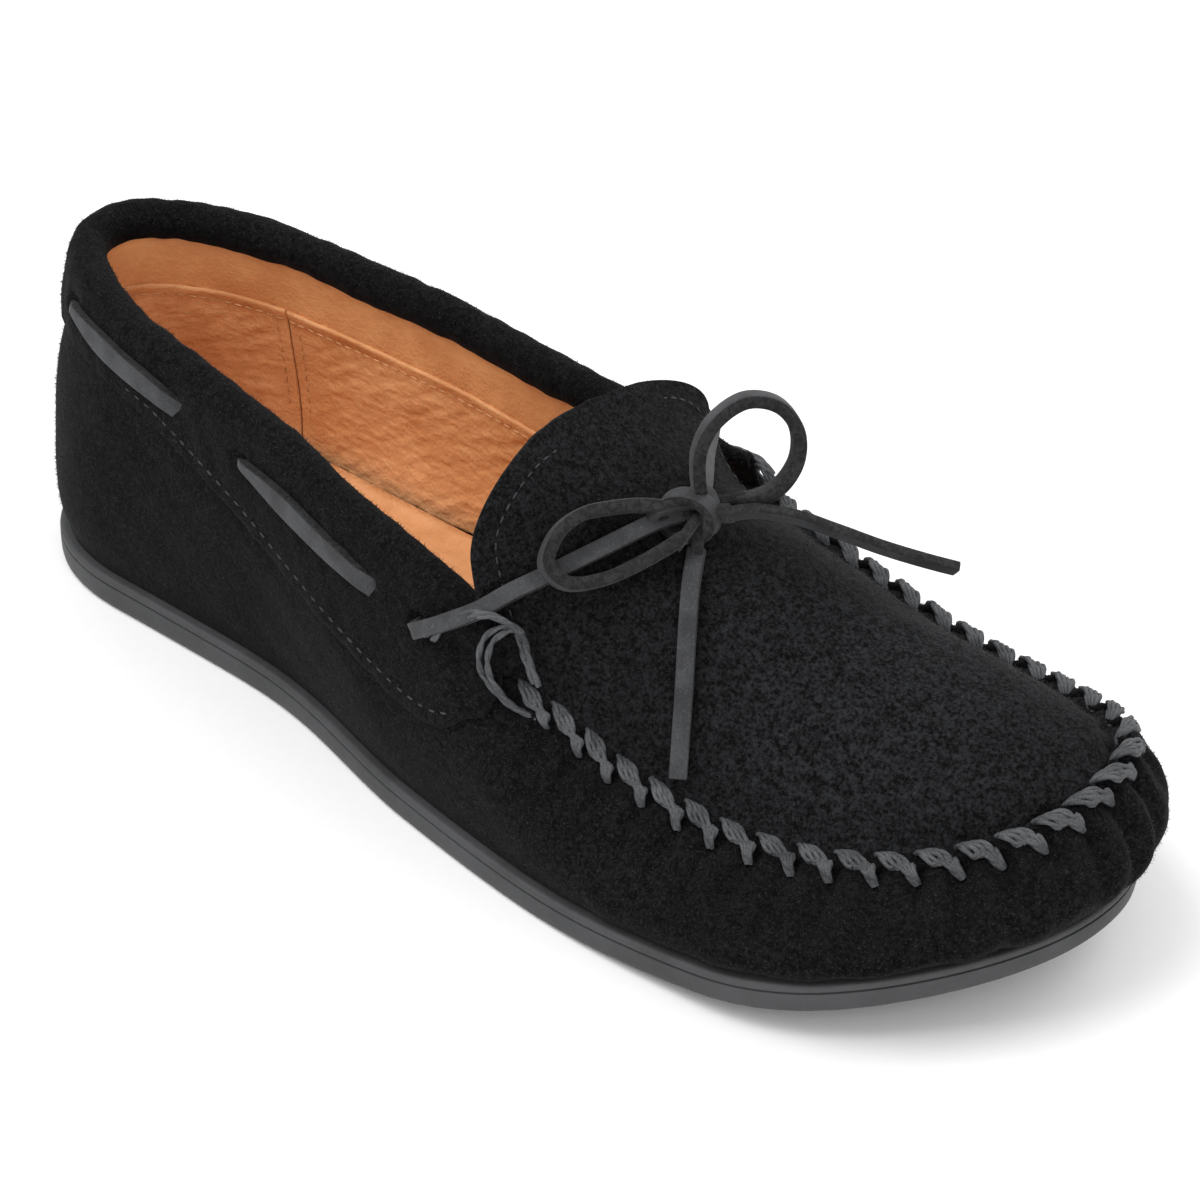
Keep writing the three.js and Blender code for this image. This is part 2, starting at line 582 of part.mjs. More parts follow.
// A layer of the sheet between two depths below its upper face.
function sheetLayer(rows, from, to) {
  const grid = rows.map((points) => row(points, SHEET_STEPS));
  const normal = (i, j) => {
    const across = grid[i][Math.min(j + 1, SHEET_STEPS)].clone().sub(grid[i][Math.max(j - 1, 0)]);
    const ahead = grid[Math.min(i + 1, grid.length - 1)][j].clone().sub(grid[Math.max(i - 1, 0)][j]);
    return across.cross(ahead).normalize();
  };
  const up = normal(1, SHEET_STEPS / 2).z > 0 ? 1 : -1;
  const face = (i, depth) => grid[i].map((p, j) => p.clone().addScaledVector(normal(i, j), -up * depth));
  return loft(grid.map((_, i) => face(i, from).concat(face(i, to).reverse())));
}

const PLUG_TIP = Math.PI - 0.04;
const backingFrom = SUEDE + CURVED_GAP;
const backingTo = backingFrom + BACKING;
const narrowed = ([near, middle, far]) => [
  near.clone().lerp(middle, LINING_NARROW),
  middle,
  far.clone().lerp(middle, LINING_NARROW),
];
const plug = () => sheetLayer(plugRows(PLUG_TIP), 0, SUEDE);
const plugLining = () => sheetLayer(plugRows(PLUG_TIP - LINING_SHORT).map(narrowed), backingFrom, backingTo);
const tongue = () => sheetLayer(freeRows(), 0, SUEDE);
const tongueLining = () => sheetLayer(freeRows(), backingFrom, backingTo);

// ---- Tubes ----
function tube(points, radius, count, sides = 8) {
  const section = new THREE.Shape(span(0, TURN, sides).slice(1)
    .map((a) => new THREE.Vector2(radius * Math.cos(a), radius * Math.sin(a))));
  const path = new THREE.CatmullRomCurve3(points);
  return new THREE.ExtrudeGeometry(section, { steps: count, bevelEnabled: false, extrudePath: path });
}

const SEAM_START = 0.03;        // angle from the plug's corner to the first stitch

// The whip-sewn thread wraps the standing edges of vamp and plug, so it lies as a bead on top of them.
function seamThread() {
  const lift = SEAM_CORD / 2 + CURVED_GAP;
  const line = span(throatAngle + SEAM_START, TURN - throatAngle - SEAM_START, 40)
    .map((angle) => vampTop(angle).addScaledVector(outward(vampTop, angle), -SUEDE / 2)
      .add(new THREE.Vector3(0, 0, lift)));
  return tube(line, SEAM_CORD / 2, 48);
}

// ---- Bow: points from the knot's centre ----
const KNOT_LIFT = 5.2;          // knot's centre above the instep
const KNOT = new THREE.Vector3(KNOT_X, 0, INSTEP + KNOT_LIFT);
const KNOT_SIZE = [6.5, 5.2, 4.4];
const CORD_RADIUS = 1.5;        // round tube with the thong's cross-section
const fromKnot = (points) => points.map(([x, y, z]) => new THREE.Vector3(x, y, z).add(KNOT));

function bowKnot() {
  const lump = new THREE.SphereGeometry(1, 14, 10);
  lump.scale(...KNOT_SIZE);
  lump.translate(...KNOT.toArray());
  return mergeVertices(lump.deleteAttribute('normal').deleteAttribute('uv'));
}

const CROSSING_START = 0.012;   // angle short of the flat lace's end where the crossing takes over
const CROSSING_LIFT = 0.15;     // crossing's start stands this far off the flat lace's underside
const CROSSING_TURNS = [[0.4, -8], [0.75, 30], [1.1, 75]]; // share of the way to the collar's end, degrees
const CROSSING_CREST = new THREE.Vector3(-1, 0, 1.6);
const BESIDE_KNOT = 1.3;        // crossing's end clear of the knot's side

// From its last slit the lace crosses the end of the collar roll and runs to the knot.
function laceCrossing(hand) {
  const corners = laceRing(hand * (LACE_END - CROSSING_START), LACE_WIDTH, LACE_THICK);
  const out = outward(rollLine, hand * LACE_END)
    .multiplyScalar(CORD_RADIUS - LACE_THICK / 2 + CROSSING_LIFT);
  const start = corners[0].add(corners[2]).multiplyScalar(0.5).add(out);
  const clear = rollRadius(CUFF_END) + CORD_RADIUS + 2 * GAP;
  const round = CROSSING_TURNS.map(([part, degrees]) =>
    rollPoint(hand * mix(LACE_END, COLLAR_END, part), clear, degrees));
  const knotSide = new THREE.Vector3(-3, -hand * (KNOT_SIZE[1] + BESIDE_KNOT), -0.6).add(KNOT);
  const rest = round[2].clone().lerp(knotSide, 0.5).add(CROSSING_CREST);
  return tube([start, ...round, rest, knotSide], CORD_RADIUS, 22);
}

const lace = () => fromManifold([1, -1].reduce((body, hand) => body.add(toManifold(laceCrossing(hand))),
  toManifold(laceInCollar())));

const LOOP_LEFT = [[-3.4, -6.2, 3], [-7, -9.4, 3.4], [-10.6, -14.4, 3.6], [-12.6, -21, 4.2], [-13, -28, 2.4],
  [-12.4, -31.4, -3], [-9, -29.4, -6.6], [-4.9, -22.8, -7.2], [-1.4, -15.6, -5.4], [1.6, -9.4, -2.8],
  [2.6, -6.6, -1.6]];
const LOOP_RIGHT = [[0.2, 1.4, 5.2], [0, 1, 9.5], [0, 1.5, 15], [1.2, 4.5, 20.5], [4.8, 10, 24.5],
  [9, 15, 23], [12, 18, 17], [13, 17, 10.5], [12.4, 12.5, 6], [10.2, 8.2, 4.2], [7.4, 5.6, 3.4]];
const TAIL_SIDE = [[7.6, 1.6, 2.2], [12, 5, 3.2], [18, 10.5, 1.8], [24.5, 16.5, -1.8], [31.5, 23, -6],
  [38, 29.5, -9.6], [42.5, 34, -11.8]];
const TAIL_FRONT = [[4.1, -3.8, -5.4], [8, -10.1, -9.6], [12.8, -16.8, -16.4], [16.9, -22.3, -24.1],
  [20.4, -27.3, -32], [23.1, -31.2, -39]];

const cord = (points, count) => tube(fromKnot(points), CORD_RADIUS, count);

// ---- Assembly ----
const shoe = new THREE.Group();

function add(name, geometry, look) {
  const mesh = new THREE.Mesh(geometry, new THREE.MeshStandardMaterial({ ...LOOKS[look], metalness: 0 }));
  mesh.name = name;
  shoe.add(mesh);
}

add('outsole', outsole(), 'rubber');
add('midsole_foam', midsole(), 'foam');
add('insole_board', insoleBoard(), 'board');
add('sock_cushion', sockCushion(), 'foam');
add('sock_liner', sockLiner(), 'tan');
add('vamp', vamp(), 'suede');
add('heel_counter', heelCounter(), 'board');
add('heel_lining', lowerLining(-HEEL_LINING_REACH, HEEL_LINING_REACH), 'tan');
add('quarter_lining_outer', lowerLining(HEEL_LINING_REACH, LINING_END), 'tan');
add('quarter_lining_inner', lowerLining(-LINING_END, -HEEL_LINING_REACH), 'tan');
add('vamp_lining', vampLining(), 'cloth');
add('collar_lining', collarLining(), 'tan');
add('collar_foam', collarFoam(), 'foam');
add('collar_cuff', collarCuff(), 'suede');
add('plug', plug(), 'suede');
add('plug_lining', plugLining(), 'cloth');
add('tongue', tongue(), 'suede');
add('tongue_lining', tongueLining(), 'suede');
add('seam_thread', seamThread(), 'thread');
add('lace', lace(), 'thong');
add('bow_knot', bowKnot(), 'thong');
add('bow_loop_left', cord(LOOP_LEFT, 24), 'thong');
add('bow_loop_right', cord(LOOP_RIGHT, 24), 'thong');
add('lace_tail_side', cord(TAIL_SIDE, 14), 'thong');
add('lace_tail_front', cord(TAIL_FRONT, 14), 'thong');

// The shoe without its bow is centred on the origin and stands on the ground.
const box = new THREE.Box3();
const isLoose = (mesh) => /^bow_loop|^lace_tail/.test(mesh.name);
shoe.children.filter((mesh) => !isLoose(mesh)).forEach((mesh) => box.expandByObject(mesh));
shoe.position.set(-(box.min.x + box.max.x) / 2, -(box.min.y + box.max.y) / 2, 0);

export default shoe;
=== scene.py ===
"""Looks of a handsewn suede moccasin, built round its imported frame.

A set of formulas, the last, gives every surface of the sole and the upper. Each sub-assembly asks the last
for its surfaces, thickens them into leather, rubber, foam or thong, and dresses them in its own finish. Sizes
are in millimetres until a mesh is made.
"""

import logging
import math
from dataclasses import dataclass, field
from enum import Enum
from typing import Any, Callable, Sequence

import bpy
import numpy as np
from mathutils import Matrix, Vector


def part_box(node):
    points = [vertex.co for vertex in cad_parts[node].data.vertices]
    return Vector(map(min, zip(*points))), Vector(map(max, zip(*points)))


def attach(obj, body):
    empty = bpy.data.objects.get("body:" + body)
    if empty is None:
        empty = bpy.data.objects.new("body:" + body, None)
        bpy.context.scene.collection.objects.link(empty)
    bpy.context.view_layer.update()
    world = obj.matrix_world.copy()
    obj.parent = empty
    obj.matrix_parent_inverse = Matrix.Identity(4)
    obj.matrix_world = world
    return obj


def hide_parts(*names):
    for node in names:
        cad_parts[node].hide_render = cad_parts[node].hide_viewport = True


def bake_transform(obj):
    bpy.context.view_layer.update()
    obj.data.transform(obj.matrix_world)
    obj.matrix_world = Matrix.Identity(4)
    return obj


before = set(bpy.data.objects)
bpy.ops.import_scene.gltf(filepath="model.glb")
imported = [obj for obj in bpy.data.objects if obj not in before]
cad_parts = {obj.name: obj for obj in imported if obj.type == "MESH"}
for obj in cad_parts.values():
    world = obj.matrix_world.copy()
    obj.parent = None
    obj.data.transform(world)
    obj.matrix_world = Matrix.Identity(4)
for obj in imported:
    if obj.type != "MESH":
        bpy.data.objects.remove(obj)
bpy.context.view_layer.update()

Array = np.ndarray
Piece = bpy.types.Object
Triple = tuple[float, float, float]
MM = 0.001
TURN = 2 * math.pi
UP = np.array([0.0, 0.0, 1.0])
log = logging.getLogger("moccasin")


class Body(Enum):
    """The two bodies of the frame."""

    SHOE = "shoe"
    TONGUE = "tongue"


# ---- Small maths ----
def mix(a: Any, b: Any, part: Any) -> Any:
    """Value between a and b."""
    return a + (b - a) * part


def smooth(low: float, high: float, value: Any) -> Any:
    """Eased step from 0 at low to 1 at high."""
    part = np.clip((value - low) / (high - low), 0, 1)
    return part * part * (3 - 2 * part)


def along(place: Any, stops: Sequence[tuple[float, float]]) -> Array:
    """Smooth curve through stops, held level beyond the first and the last.

    Args:
        place: where the curve is read.
        stops: pairs of place and value, in order.

    Returns:
        The curve's values.
    """
    x, y = np.array(stops, float).T
    index = np.arange(len(x))
    before, after = np.maximum(index - 1, 0), np.minimum(index + 1, len(x) - 1)
    slopes = (y[after] - y[before]) / (x[after] - x[before])
    held = np.clip(place, x[0], x[-1])
    i = np.clip(np.searchsorted(x, held, side="right") - 1, 0, len(x) - 2)
    gap, rise = x[i + 1] - x[i], y[i + 1] - y[i]
    t = (held - x[i]) / gap
    first, second = slopes[i] * gap, slopes[i + 1] * gap
    return y[i] + t * (first + t * (3 * rise - 2 * first - second + t * (first + second - 2 * rise)))


def rounded(distance: Any, reach: float, power: float) -> Array:
    """Quarter of a superellipse: 0 at distance 0, 1 from reach on."""
    rest = np.clip(1 - distance / reach, 0, 1)
    return (1 - rest**power) ** (1 / power)


def unit(vectors: Array) -> Array:
    """Vectors at length 1."""
    return vectors / np.maximum(np.linalg.norm(vectors, axis=-1, keepdims=True), 1e-9)


def lengths(points: Array) -> Array:
    """Distance travelled along a line up to each of its points."""
    return np.concatenate([[0.0], np.cumsum(np.linalg.norm(np.diff(points, axis=0), axis=1))])


def evenly(points: Array, step: float) -> Array:
    """The same line with points a step apart.

    Args:
        points: the line.
        step: wanted distance between points.

    Returns:
        The new points, both ends kept.
    """
    travelled = lengths(points)
    count = max(2, int(round(travelled[-1] / step)) + 1)
    places = np.linspace(0, travelled[-1], count)
    return np.stack([np.interp(places, travelled, points[:, axis]) for axis in range(3)], -1)


def through(points: Sequence[Sequence[float]], step: float) -> Array:
    """Centripetal curve through given points.

    Args:
        points: the points, in order.
        step: distance between the points that come back.

    Returns:
        Points along the curve.
    """
    p = np.array(points, float)
    p = np.concatenate([[2 * p[0] - p[1]], p, [2 * p[-1] - p[-2]]])
    t = np.linspace(0, 1, 24, endpoint=False)[:, None]
    parts = []
    for a, b, c, d in zip(p, p[1:], p[2:], p[3:]):
        ab, bc, cd = (math.sqrt(max(np.linalg.norm(v), 1e-6)) for v in (b - a, c - b, d - c))
        start = ((b - a) / ab - (c - a) / (ab + bc) + (c - b) / bc) * bc
        end = ((c - b) / bc - (d - b) / (bc + cd) + (d - c) / cd) * bc
        parts.append(b + t * (start + t * (3 * (c - b) - 2 * start - end + t * (start + end - 2 * (c - b)))))
    return evenly(np.concatenate([*parts, p[-2:-1]]), step)


def ripple(points: Array, wave: float, seed: int, stretch: Sequence[float] = (1, 1, 1)) -> Array:
    """Uneven swell over space, about -1 to 1, from a few crossing waves.

    Args:
        points: where it is read.
        wave: mean wavelength.
        seed: fixes the waves' directions and phases.
        stretch: more waves along an axis where it is larger.

    Returns:
        The swell at each point.
    """
    rng = np.random.default_rng(seed)
    total, waves = np.zeros(points.shape[:-1]), 9
    for _ in range(waves):
        direction = unit(rng.normal(size=3) * np.array(stretch)) * rng.uniform(0.65, 1.5)
        total += np.sin(points @ direction * TURN / wave + rng.uniform(0, TURN))
    return total / math.sqrt(waves)


def grid_normals(grid: Array, wrap: bool) -> Array:
    """Outward directions of a grid of points."""
    rows = np.roll(grid, -1, 0) - np.roll(grid, 1, 0) if wrap else np.gradient(grid, axis=0)
    return unit(np.cross(rows, np.gradient(grid, axis=1)))


def relax(grid: Array, rounds: int, weight: Any = 0.5, axis: int = 1) -> Array:
    """Evens a grid out along one axis and leaves its ends.

    Args:
        grid: rows by columns by 3.
        rounds: how many passes.
        weight: share of each move, or an array of shares.
        axis: 0 along rows, 1 along columns.

    Returns:
        The evened grid.
    """
    work = np.swapaxes(grid, 0, axis).copy()
    part = weight if np.isscalar(weight) else np.swapaxes(weight, 0, axis)[1:-1, :, None]
    for _ in range(rounds):
        work[1:-1] += part * ((work[:-2] + work[2:]) / 2 - work[1:-1])
    return np.swapaxes(work, 0, axis)


def sample(grid: Array, rows: Array, columns: Array) -> Array:
    """Points of a grid read between its own points.

    Args:
        grid: rows by columns by 3.
        rows: row places, fractions allowed.
        columns: column places, fractions allowed.

    Returns:
        The points.
    """
    rows = np.clip(rows, 0, grid.shape[0] - 1.001)
    columns = np.clip(columns, 0, grid.shape[1] - 1.001)
    i, j = rows.astype(int), columns.astype(int)
    u, v = (rows - i)[:, None], (columns - j)[:, None]
    return mix(mix(grid[i, j], grid[i + 1, j], u), mix(grid[i, j + 1], grid[i + 1, j + 1], u), v)


# ---- The last ----
@dataclass(frozen=True)
class Sizes:
    """Driving sizes of the shoe, the same as the frame's, in millimetres."""

    length: float = 290
    heel_width: float = 68
    ball_width: float = 103
    sole_heel: float = 8.3
    sole_toe: float = 6.8
    toe_spring: float = 15
    collar_heel: float = 80
    collar_quarter: float = 74
    collar_throat: float = 66
    seam_throat: float = 50
    seam_ball: float = 32.6
    seam_toe: float = 42.6
    plug_width: float = 81
    opening_heel: float = 40
    opening_throat: float = 77
    instep: float = 68.5
    tongue_rise: float = 21
    suede: float = 1.6
    cuff: float = 1.3
    lining: float = 1.0
    backing: float = 0.8
    counter: float = 1.2
    roll: float = 4.8
    board: float = 2.0
    cushion: float = 2.4
    lace_width: float = 4.0
    lace_thick: float = 2.2
    gap: float = 0.35
    curved_gap: float = 0.6
    feather_inset: float = 2.5
    sole_floor: float = 3.6
    sole_rim: float = 9
    lasting_margin: float = 11
    band: float = 15
    seam_reach: float = 0.41
    cuff_end: float = 0.585
    plug_start: float = 0.603
    lining_end: float = 0.56
    heel_seam: float = 0.24 * math.pi
    knot_x: float = 41.5
    knot_lift: float = 5.2
    frame_steps: int = 60


class Last:
    """Surfaces of the shoe. Angle 0 is the heel and half a turn the toe, by way of the foot's outer side."""

    def __init__(self, sizes: Sizes) -> None:
        """Keeps the sizes and finds the shift from the last's own origin to the frame's."""
        self.z = sizes
        self.shift = np.zeros(3)
        self.shift = self._frame_shift()

    def _frame_shift(self) -> Array:
        """Offset that brings the sole's outline onto the frame's outsole."""
        angles = np.linspace(0, TURN, self.z.frame_steps + 1)[1:]
        ring = self.inset_sole(angles, 0.2, self.sole_lift)
        low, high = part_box("outsole")
        mine = (ring.min(0) + ring.max(0)) / 2
        return np.array([(low.x + high.x) / 2 / MM - mine[0], (low.y + high.y) / 2 / MM - mine[1], 0.0])

    @staticmethod
    def share(angle: Any) -> Any:
        """Share of the length at an angle."""
        return (1 - np.cos(angle)) / 2

    @staticmethod
    def angle_at(share: Any) -> Any:
        """Angle on the outer side at a share of the length."""
        return np.arccos(1 - 2 * np.asarray(share))

    @staticmethod
    def side(angle: Any) -> Any:
        """-1 on the outer side of the foot, 1 on its inner side."""
        return np.where(np.sin(angle) >= 0, -1.0, 1.0)

    def sole_edge(self, angle: Array) -> Array:
        """Outline of the sole, on the ground.

        Args:
            angle: places round the loop.

        Returns:
            The points.
        """
        z, s = self.z, self.share(angle)
        centre = along(s, [(0, 1), (0.3, 0), (0.5, -4.5), (0.75, -1), (0.87, 0.5), (1, 7)])
        half = along(s, [(0, z.heel_width / 2), (0.2, z.heel_width / 2), (0.35, 0.515 * z.heel_width),
                         (0.5, 0.41 * z.ball_width), (0.7, z.ball_width / 2), (0.87, 0.49 * z.ball_width),
                         (1, 0.42 * z.ball_width)])
        ends = rounded(s, 0.14, 2.2) * rounded(1 - s, 0.2, 2.1)
        return np.stack([(s - 0.5) * z.length, centre + self.side(angle) * half * ends, 0 * s], -1)

    def sole_lift(self, s: Any) -> Any:
        """Height of the sole's underside."""
        return self.z.toe_spring * np.clip((s - 0.62) / 0.38, 0, 1) ** 2

    def sole_top(self, s: Any) -> Any:
        """Height of the sole's upper edge."""
        return self.sole_lift(s) + mix(self.z.sole_heel, self.z.sole_toe, s)

    @staticmethod
    def outward(loop: Callable[[Array], Array], angle: Array) -> Array:
        """Outward direction of a loop, in plan."""
        step = loop(angle + 0.02) - loop(angle - 0.02)
        return unit(np.stack([step[..., 1], -step[..., 0], 0 * step[..., 0]], -1))

    def inset_sole(self, angle: Array, inset: Any, height: Callable[[Array], Array]) -> Array:
        """A point inside the sole's edge.

        Args:
            angle: place round the loop.
            inset: distance from the edge.
            height: gives the height at a share of the length.

        Returns:
            The points.
        """
        inset = np.asarray(inset, float)
        point = self.sole_edge(angle) - self.outward(self.sole_edge, angle) * inset[..., None]
        point[..., 2] = height(point[..., 0] / self.z.length + 0.5)
        return point

    def foot_centre(self, s: Any) -> Array:
        """Middle line of the foot, in plan."""
        return along(s, [(0, 1), (0.3, 0), (0.45, -3.5), (0.58, -2.5), (0.65, 1), (0.8, 6.2), (1, 13.3)])

    def roll_radius(self, s: Any) -> Array:
        """Outer radius of the collar roll."""
        return self.z.roll * along(s, [(0, 1), (0.45, 1), (self.z.cuff_end, 0.8)])

    def opening_half(self, s: Any) -> Any:
        """Half of the opening's width, before its ends are rounded."""
        return mix(self.z.opening_heel, self.z.opening_throat, s / 0.6) / 2

    def roll_height(self, s: Any) -> Array:
        """Height of the collar roll's middle line."""
        z = self.z
        return along(s, [(0, z.collar_heel), (0.3, z.collar_quarter),
                         (0.43, mix(z.collar_quarter, z.collar_throat, 0.42)), (z.cuff_end, z.collar_throat),
                         (0.7, z.collar_throat - 3)]) - z.roll

    def roll_line(self, angle: Array) -> Array:
        """Middle line of the collar roll.

        Args:
            angle: places round the loop.

        Returns:
            The points.
        """
        s = self.share(angle)
        centre = self.foot_centre(s)
        across = self.side(angle) * self.opening_half(s) * rounded(s, 0.175, 2.2)
        x = -self.z.length / 2 + 7 + (self.z.length - 18.5) * s
        return np.stack([x, centre + across, self.roll_height(s) + 2.2 * across / 40], -1)

    def roll_foot(self, angle: Array) -> Array:
        """Where the side of the collar comes down from the roll."""
        reach = self.roll_radius(self.share(angle)) - self.z.cuff - self.z.curved_gap
        return self.roll_line(angle) + self.outward(self.roll_line, angle) * reach[..., None]

    def vamp_top(self, angle: Array) -> Array:
        """Top edge of the vamp: under the collar at the back, the plug seam in front.

        Args:
            angle: places round the loop.

        Returns:
            The points.
        """
        z, s = self.z, self.share(angle)
        front = smooth(0.5, 0.66, s)
        seam_half = z.plug_width / 2 * rounded(1 - s, z.seam_reach, 2.7)
        half = mix((self.opening_half(s) + z.roll - 0.4) * rounded(s, 0.16, 2.2), seam_half, front)
        seam = along(s, [(0.5, z.seam_throat + 3), (0.6, z.seam_throat), (0.66, z.seam_throat - 6),
                         (0.7, mix(z.seam_ball, z.seam_throat, 0.38)), (0.8, z.seam_ball),
                         (0.9, z.seam_ball + 1.5), (1, z.seam_toe)])
        tucked = self.roll_height(s) - mix(9.5, 12, s / z.cuff_end)
        tilt = along(s, [(0, 0), (0.3, 2.2), (0.55, 3.5), (0.7, 6.3), (1, 6.3)])
        y = self.side(angle) * half * (1 - 0.02 * front)
        x = -z.length / 2 + 3 + (z.length - 10.5) * s
        return np.stack([x, self.foot_centre(s) + y, mix(tucked, seam, front) + tilt * y / 40], -1)

    def feather(self, angle: Array) -> Array:
        """Line where the upper meets the sole."""
        return self.inset_sole(angle, self.z.feather_inset, lambda s: self.sole_top(s) + self.z.gap)

    def wall(self, angle: Array, level: Array) -> Array:
        """Outer face of the upper.

        Args:
            angle: places round the loop.
            level: for each angle, 0 at the sole, 1 at the vamp's top edge, 2 under the collar roll.

        Returns:
            Points, angles by levels by 3.
        """
        level = np.broadcast_to(level, (len(angle), np.shape(level)[-1]))[..., None]
        s = self.share(angle)
        low, top, foot = self.feather(angle), self.vamp_top(angle), self.roll_foot(angle)
        rise = top - low
        out = self.outward(self.sole_edge, angle)
        overhang = np.maximum(0, -(rise * out).sum(-1))
        full = along(s, [(0, 3.6), (0.6, 3.6), (0.85, 5), (1, 7.5)]) + 0.28 * overhang
        push = out * (4 * full)[:, None]
        ahead = unit(foot - top) * np.linalg.norm(rise, axis=-1, keepdims=True)
        end = mix(rise - push, ahead, (1 - smooth(0.5, 0.62, s))[:, None])
        low, top, foot, start, end = (a[:, None] for a in (low, top, foot, rise + push, end))
        t = np.minimum(level, 1)
        face = (low * (1 + t * t * (2 * t - 3)) + start * t * (1 + t * (t - 2))
                + top * t * t * (3 - 2 * t) + end * t * t * (t - 1))
        return np.where(level > 1, mix(top, foot, level - 1), face)

    def inside(self, angle: Array, level: Array, depth: Any) -> Array:
        """Points behind the upper's outer face.

        Args:
            angle: places round the loop.
            level: levels, as for wall.
            depth: distance behind the face.

        Returns:
            Points, angles by levels by 3.
        """
        level = np.broadcast_to(level, (len(angle), np.shape(level)[-1]))
        above = level > 1
        round_it = self.wall(angle + 0.02, level) - self.wall(angle - 0.02, level)
        high = self.wall(angle, np.minimum(level + 0.05, np.where(above, 2, 1)))
        low = self.wall(angle, np.maximum(level - 0.05, np.where(above, 1.001, 0)))
        depth = np.broadcast_to(np.asarray(depth, float), level.shape)
        return self.wall(angle, level) - unit(np.cross(round_it, high - low)) * depth[..., None]

    def wall_height(self, angle: Array) -> Array:
        """Straight height of the vamp's side."""
        return np.linalg.norm(self.vamp_top(angle) - self.feather(angle), axis=-1)

    def tuck_height(self, angle: Array) -> Array:
        """Distance from the vamp's top edge to the roll's foot."""
        return np.linalg.norm(self.roll_foot(angle) - self.vamp_top(angle), axis=-1)

    def roll_point(self, angle: Array, radius: Array, degrees: Array) -> Array:
        """Points round the collar roll.

        Args:
            angle: places round the loop.
            radius: distance from the roll's middle, for each angle.
            degrees: turn about the roll, 0 outside, 90 on top.

        Returns:
            Points, angles by turns by 3.
        """
        turn = np.radians(degrees)[None, :, None]
        out = self.outward(self.roll_line, angle)[:, None]
        reach = np.asarray(radius)[:, None, None]
        return self.roll_line(angle)[:, None] + reach * (out * np.cos(turn) + UP * np.sin(turn))

    def lap_depth(self, s: Any) -> Array:
        """How far the collar's leaf hangs below the vamp's top edge."""
        return along(s, [(0, 2.5), (0.17, 3), (0.28, 7.5), (0.37, 12), (0.5, 16), (0.555, 14.5),
                         (self.z.cuff_end, 9)])


SIZES = Sizes()
LAST = Last(SIZES)


# ---- Meshes ----
def add_object(name: str, data: Any) -> Piece:
    """A new object in the scene."""
    made = bpy.data.objects.new(name, data)
    bpy.context.scene.collection.objects.link(made)
    return made


def make_piece(name: str, points: Array, faces: Sequence[Sequence[int]],
               uvs: Array | None = None) -> Piece:
    """A smooth mesh object in the frame's place.

    Args:
        name: the piece's name.
        points: vertices, in the last's millimetres.
        faces: vertex numbers of each face.
        uvs: a place on the surface for each vertex, in millimetres.

    Returns:
        The new object.
    """
    mesh = bpy.data.meshes.new(name)
    mesh.from_pydata(((points.reshape(-1, 3) + LAST.shift) * MM).tolist(), [], faces)
    if uvs is not None:
        layer = mesh.uv_layers.new(name="surface")
        corner = np.zeros(len(mesh.loops), np.int32)
        mesh.loops.foreach_get("vertex_index", corner)
        layer.data.foreach_set("uv", (uvs.reshape(-1, 2)[corner] * MM).astype(np.float32).ravel())
    mesh.shade_smooth()
    return add_object(name, mesh)


def numbers(grid: Array, wrap: bool) -> tuple[Array, Array, Array]:
    """Vertex numbers of a grid of points."""
    index = np.arange(grid.shape[0] * grid.shape[1]).reshape(grid.shape[:2])
    return (index, index, np.roll(index, -1, 0)) if wrap else (index, index[:-1], index[1:])


def skin(name: str, rings: Array, wrap: bool, caps: Callable[[Array], list[list[int]]],
         spine: Array) -> Piece:
    """Closed mesh over equal rings, unrolled along a spine.

    Args:
        name: the piece's name.
        rings: rings by points by 3, in order.
        wrap: whether the last ring joins the first; otherwise both ends are capped.
        caps: gives the faces that close a ring.
        spine: a line with a point for each ring, which measures the way along the piece.

    Returns:
        The new object.
    """
    index, a, b = numbers(rings, wrap)
    faces = np.stack([a, b, np.roll(b, -1, 1), np.roll(a, -1, 1)], -1).reshape(-1, 4).tolist()
    if not wrap:
        faces += caps(index[0]) + [face[::-1] for face in caps(index[-1])]
    along_it = lengths(spine)[:, None] + np.zeros(rings.shape[1])
    round_it = np.linalg.norm(np.diff(rings, axis=1, prepend=rings[:, :1]), axis=-1).cumsum(1)
    made = make_piece(name, rings, faces, np.stack([along_it, round_it], -1))
    fix_winding(made)
    return made


def loft(name: str, rings: Array) -> Piece:
    """Skin over equal closed rings, with a flat cap at both ends."""
    return skin(name, rings, False, lambda ring: [ring.tolist()], rings.mean(1))


def fix_winding(piece: Piece) -> None:
    """Turns every face outwards if the closed mesh is inside out.

    Args:
        piece: the closed piece.
    """
    mesh = piece.data
    mesh.calc_loop_triangles()
    corners = np.zeros(len(mesh.loop_triangles) * 3, np.int32)
    mesh.loop_triangles.foreach_get("vertices", corners)
    places = np.zeros(len(mesh.vertices) * 3, np.float32)
    mesh.vertices.foreach_get("co", places)
    a, b, c = places.reshape(-1, 3)[corners].reshape(-1, 3, 3).astype(float).transpose(1, 0, 2)
    if (a * np.cross(b, c)).sum() < 0:
        mesh.flip_normals()


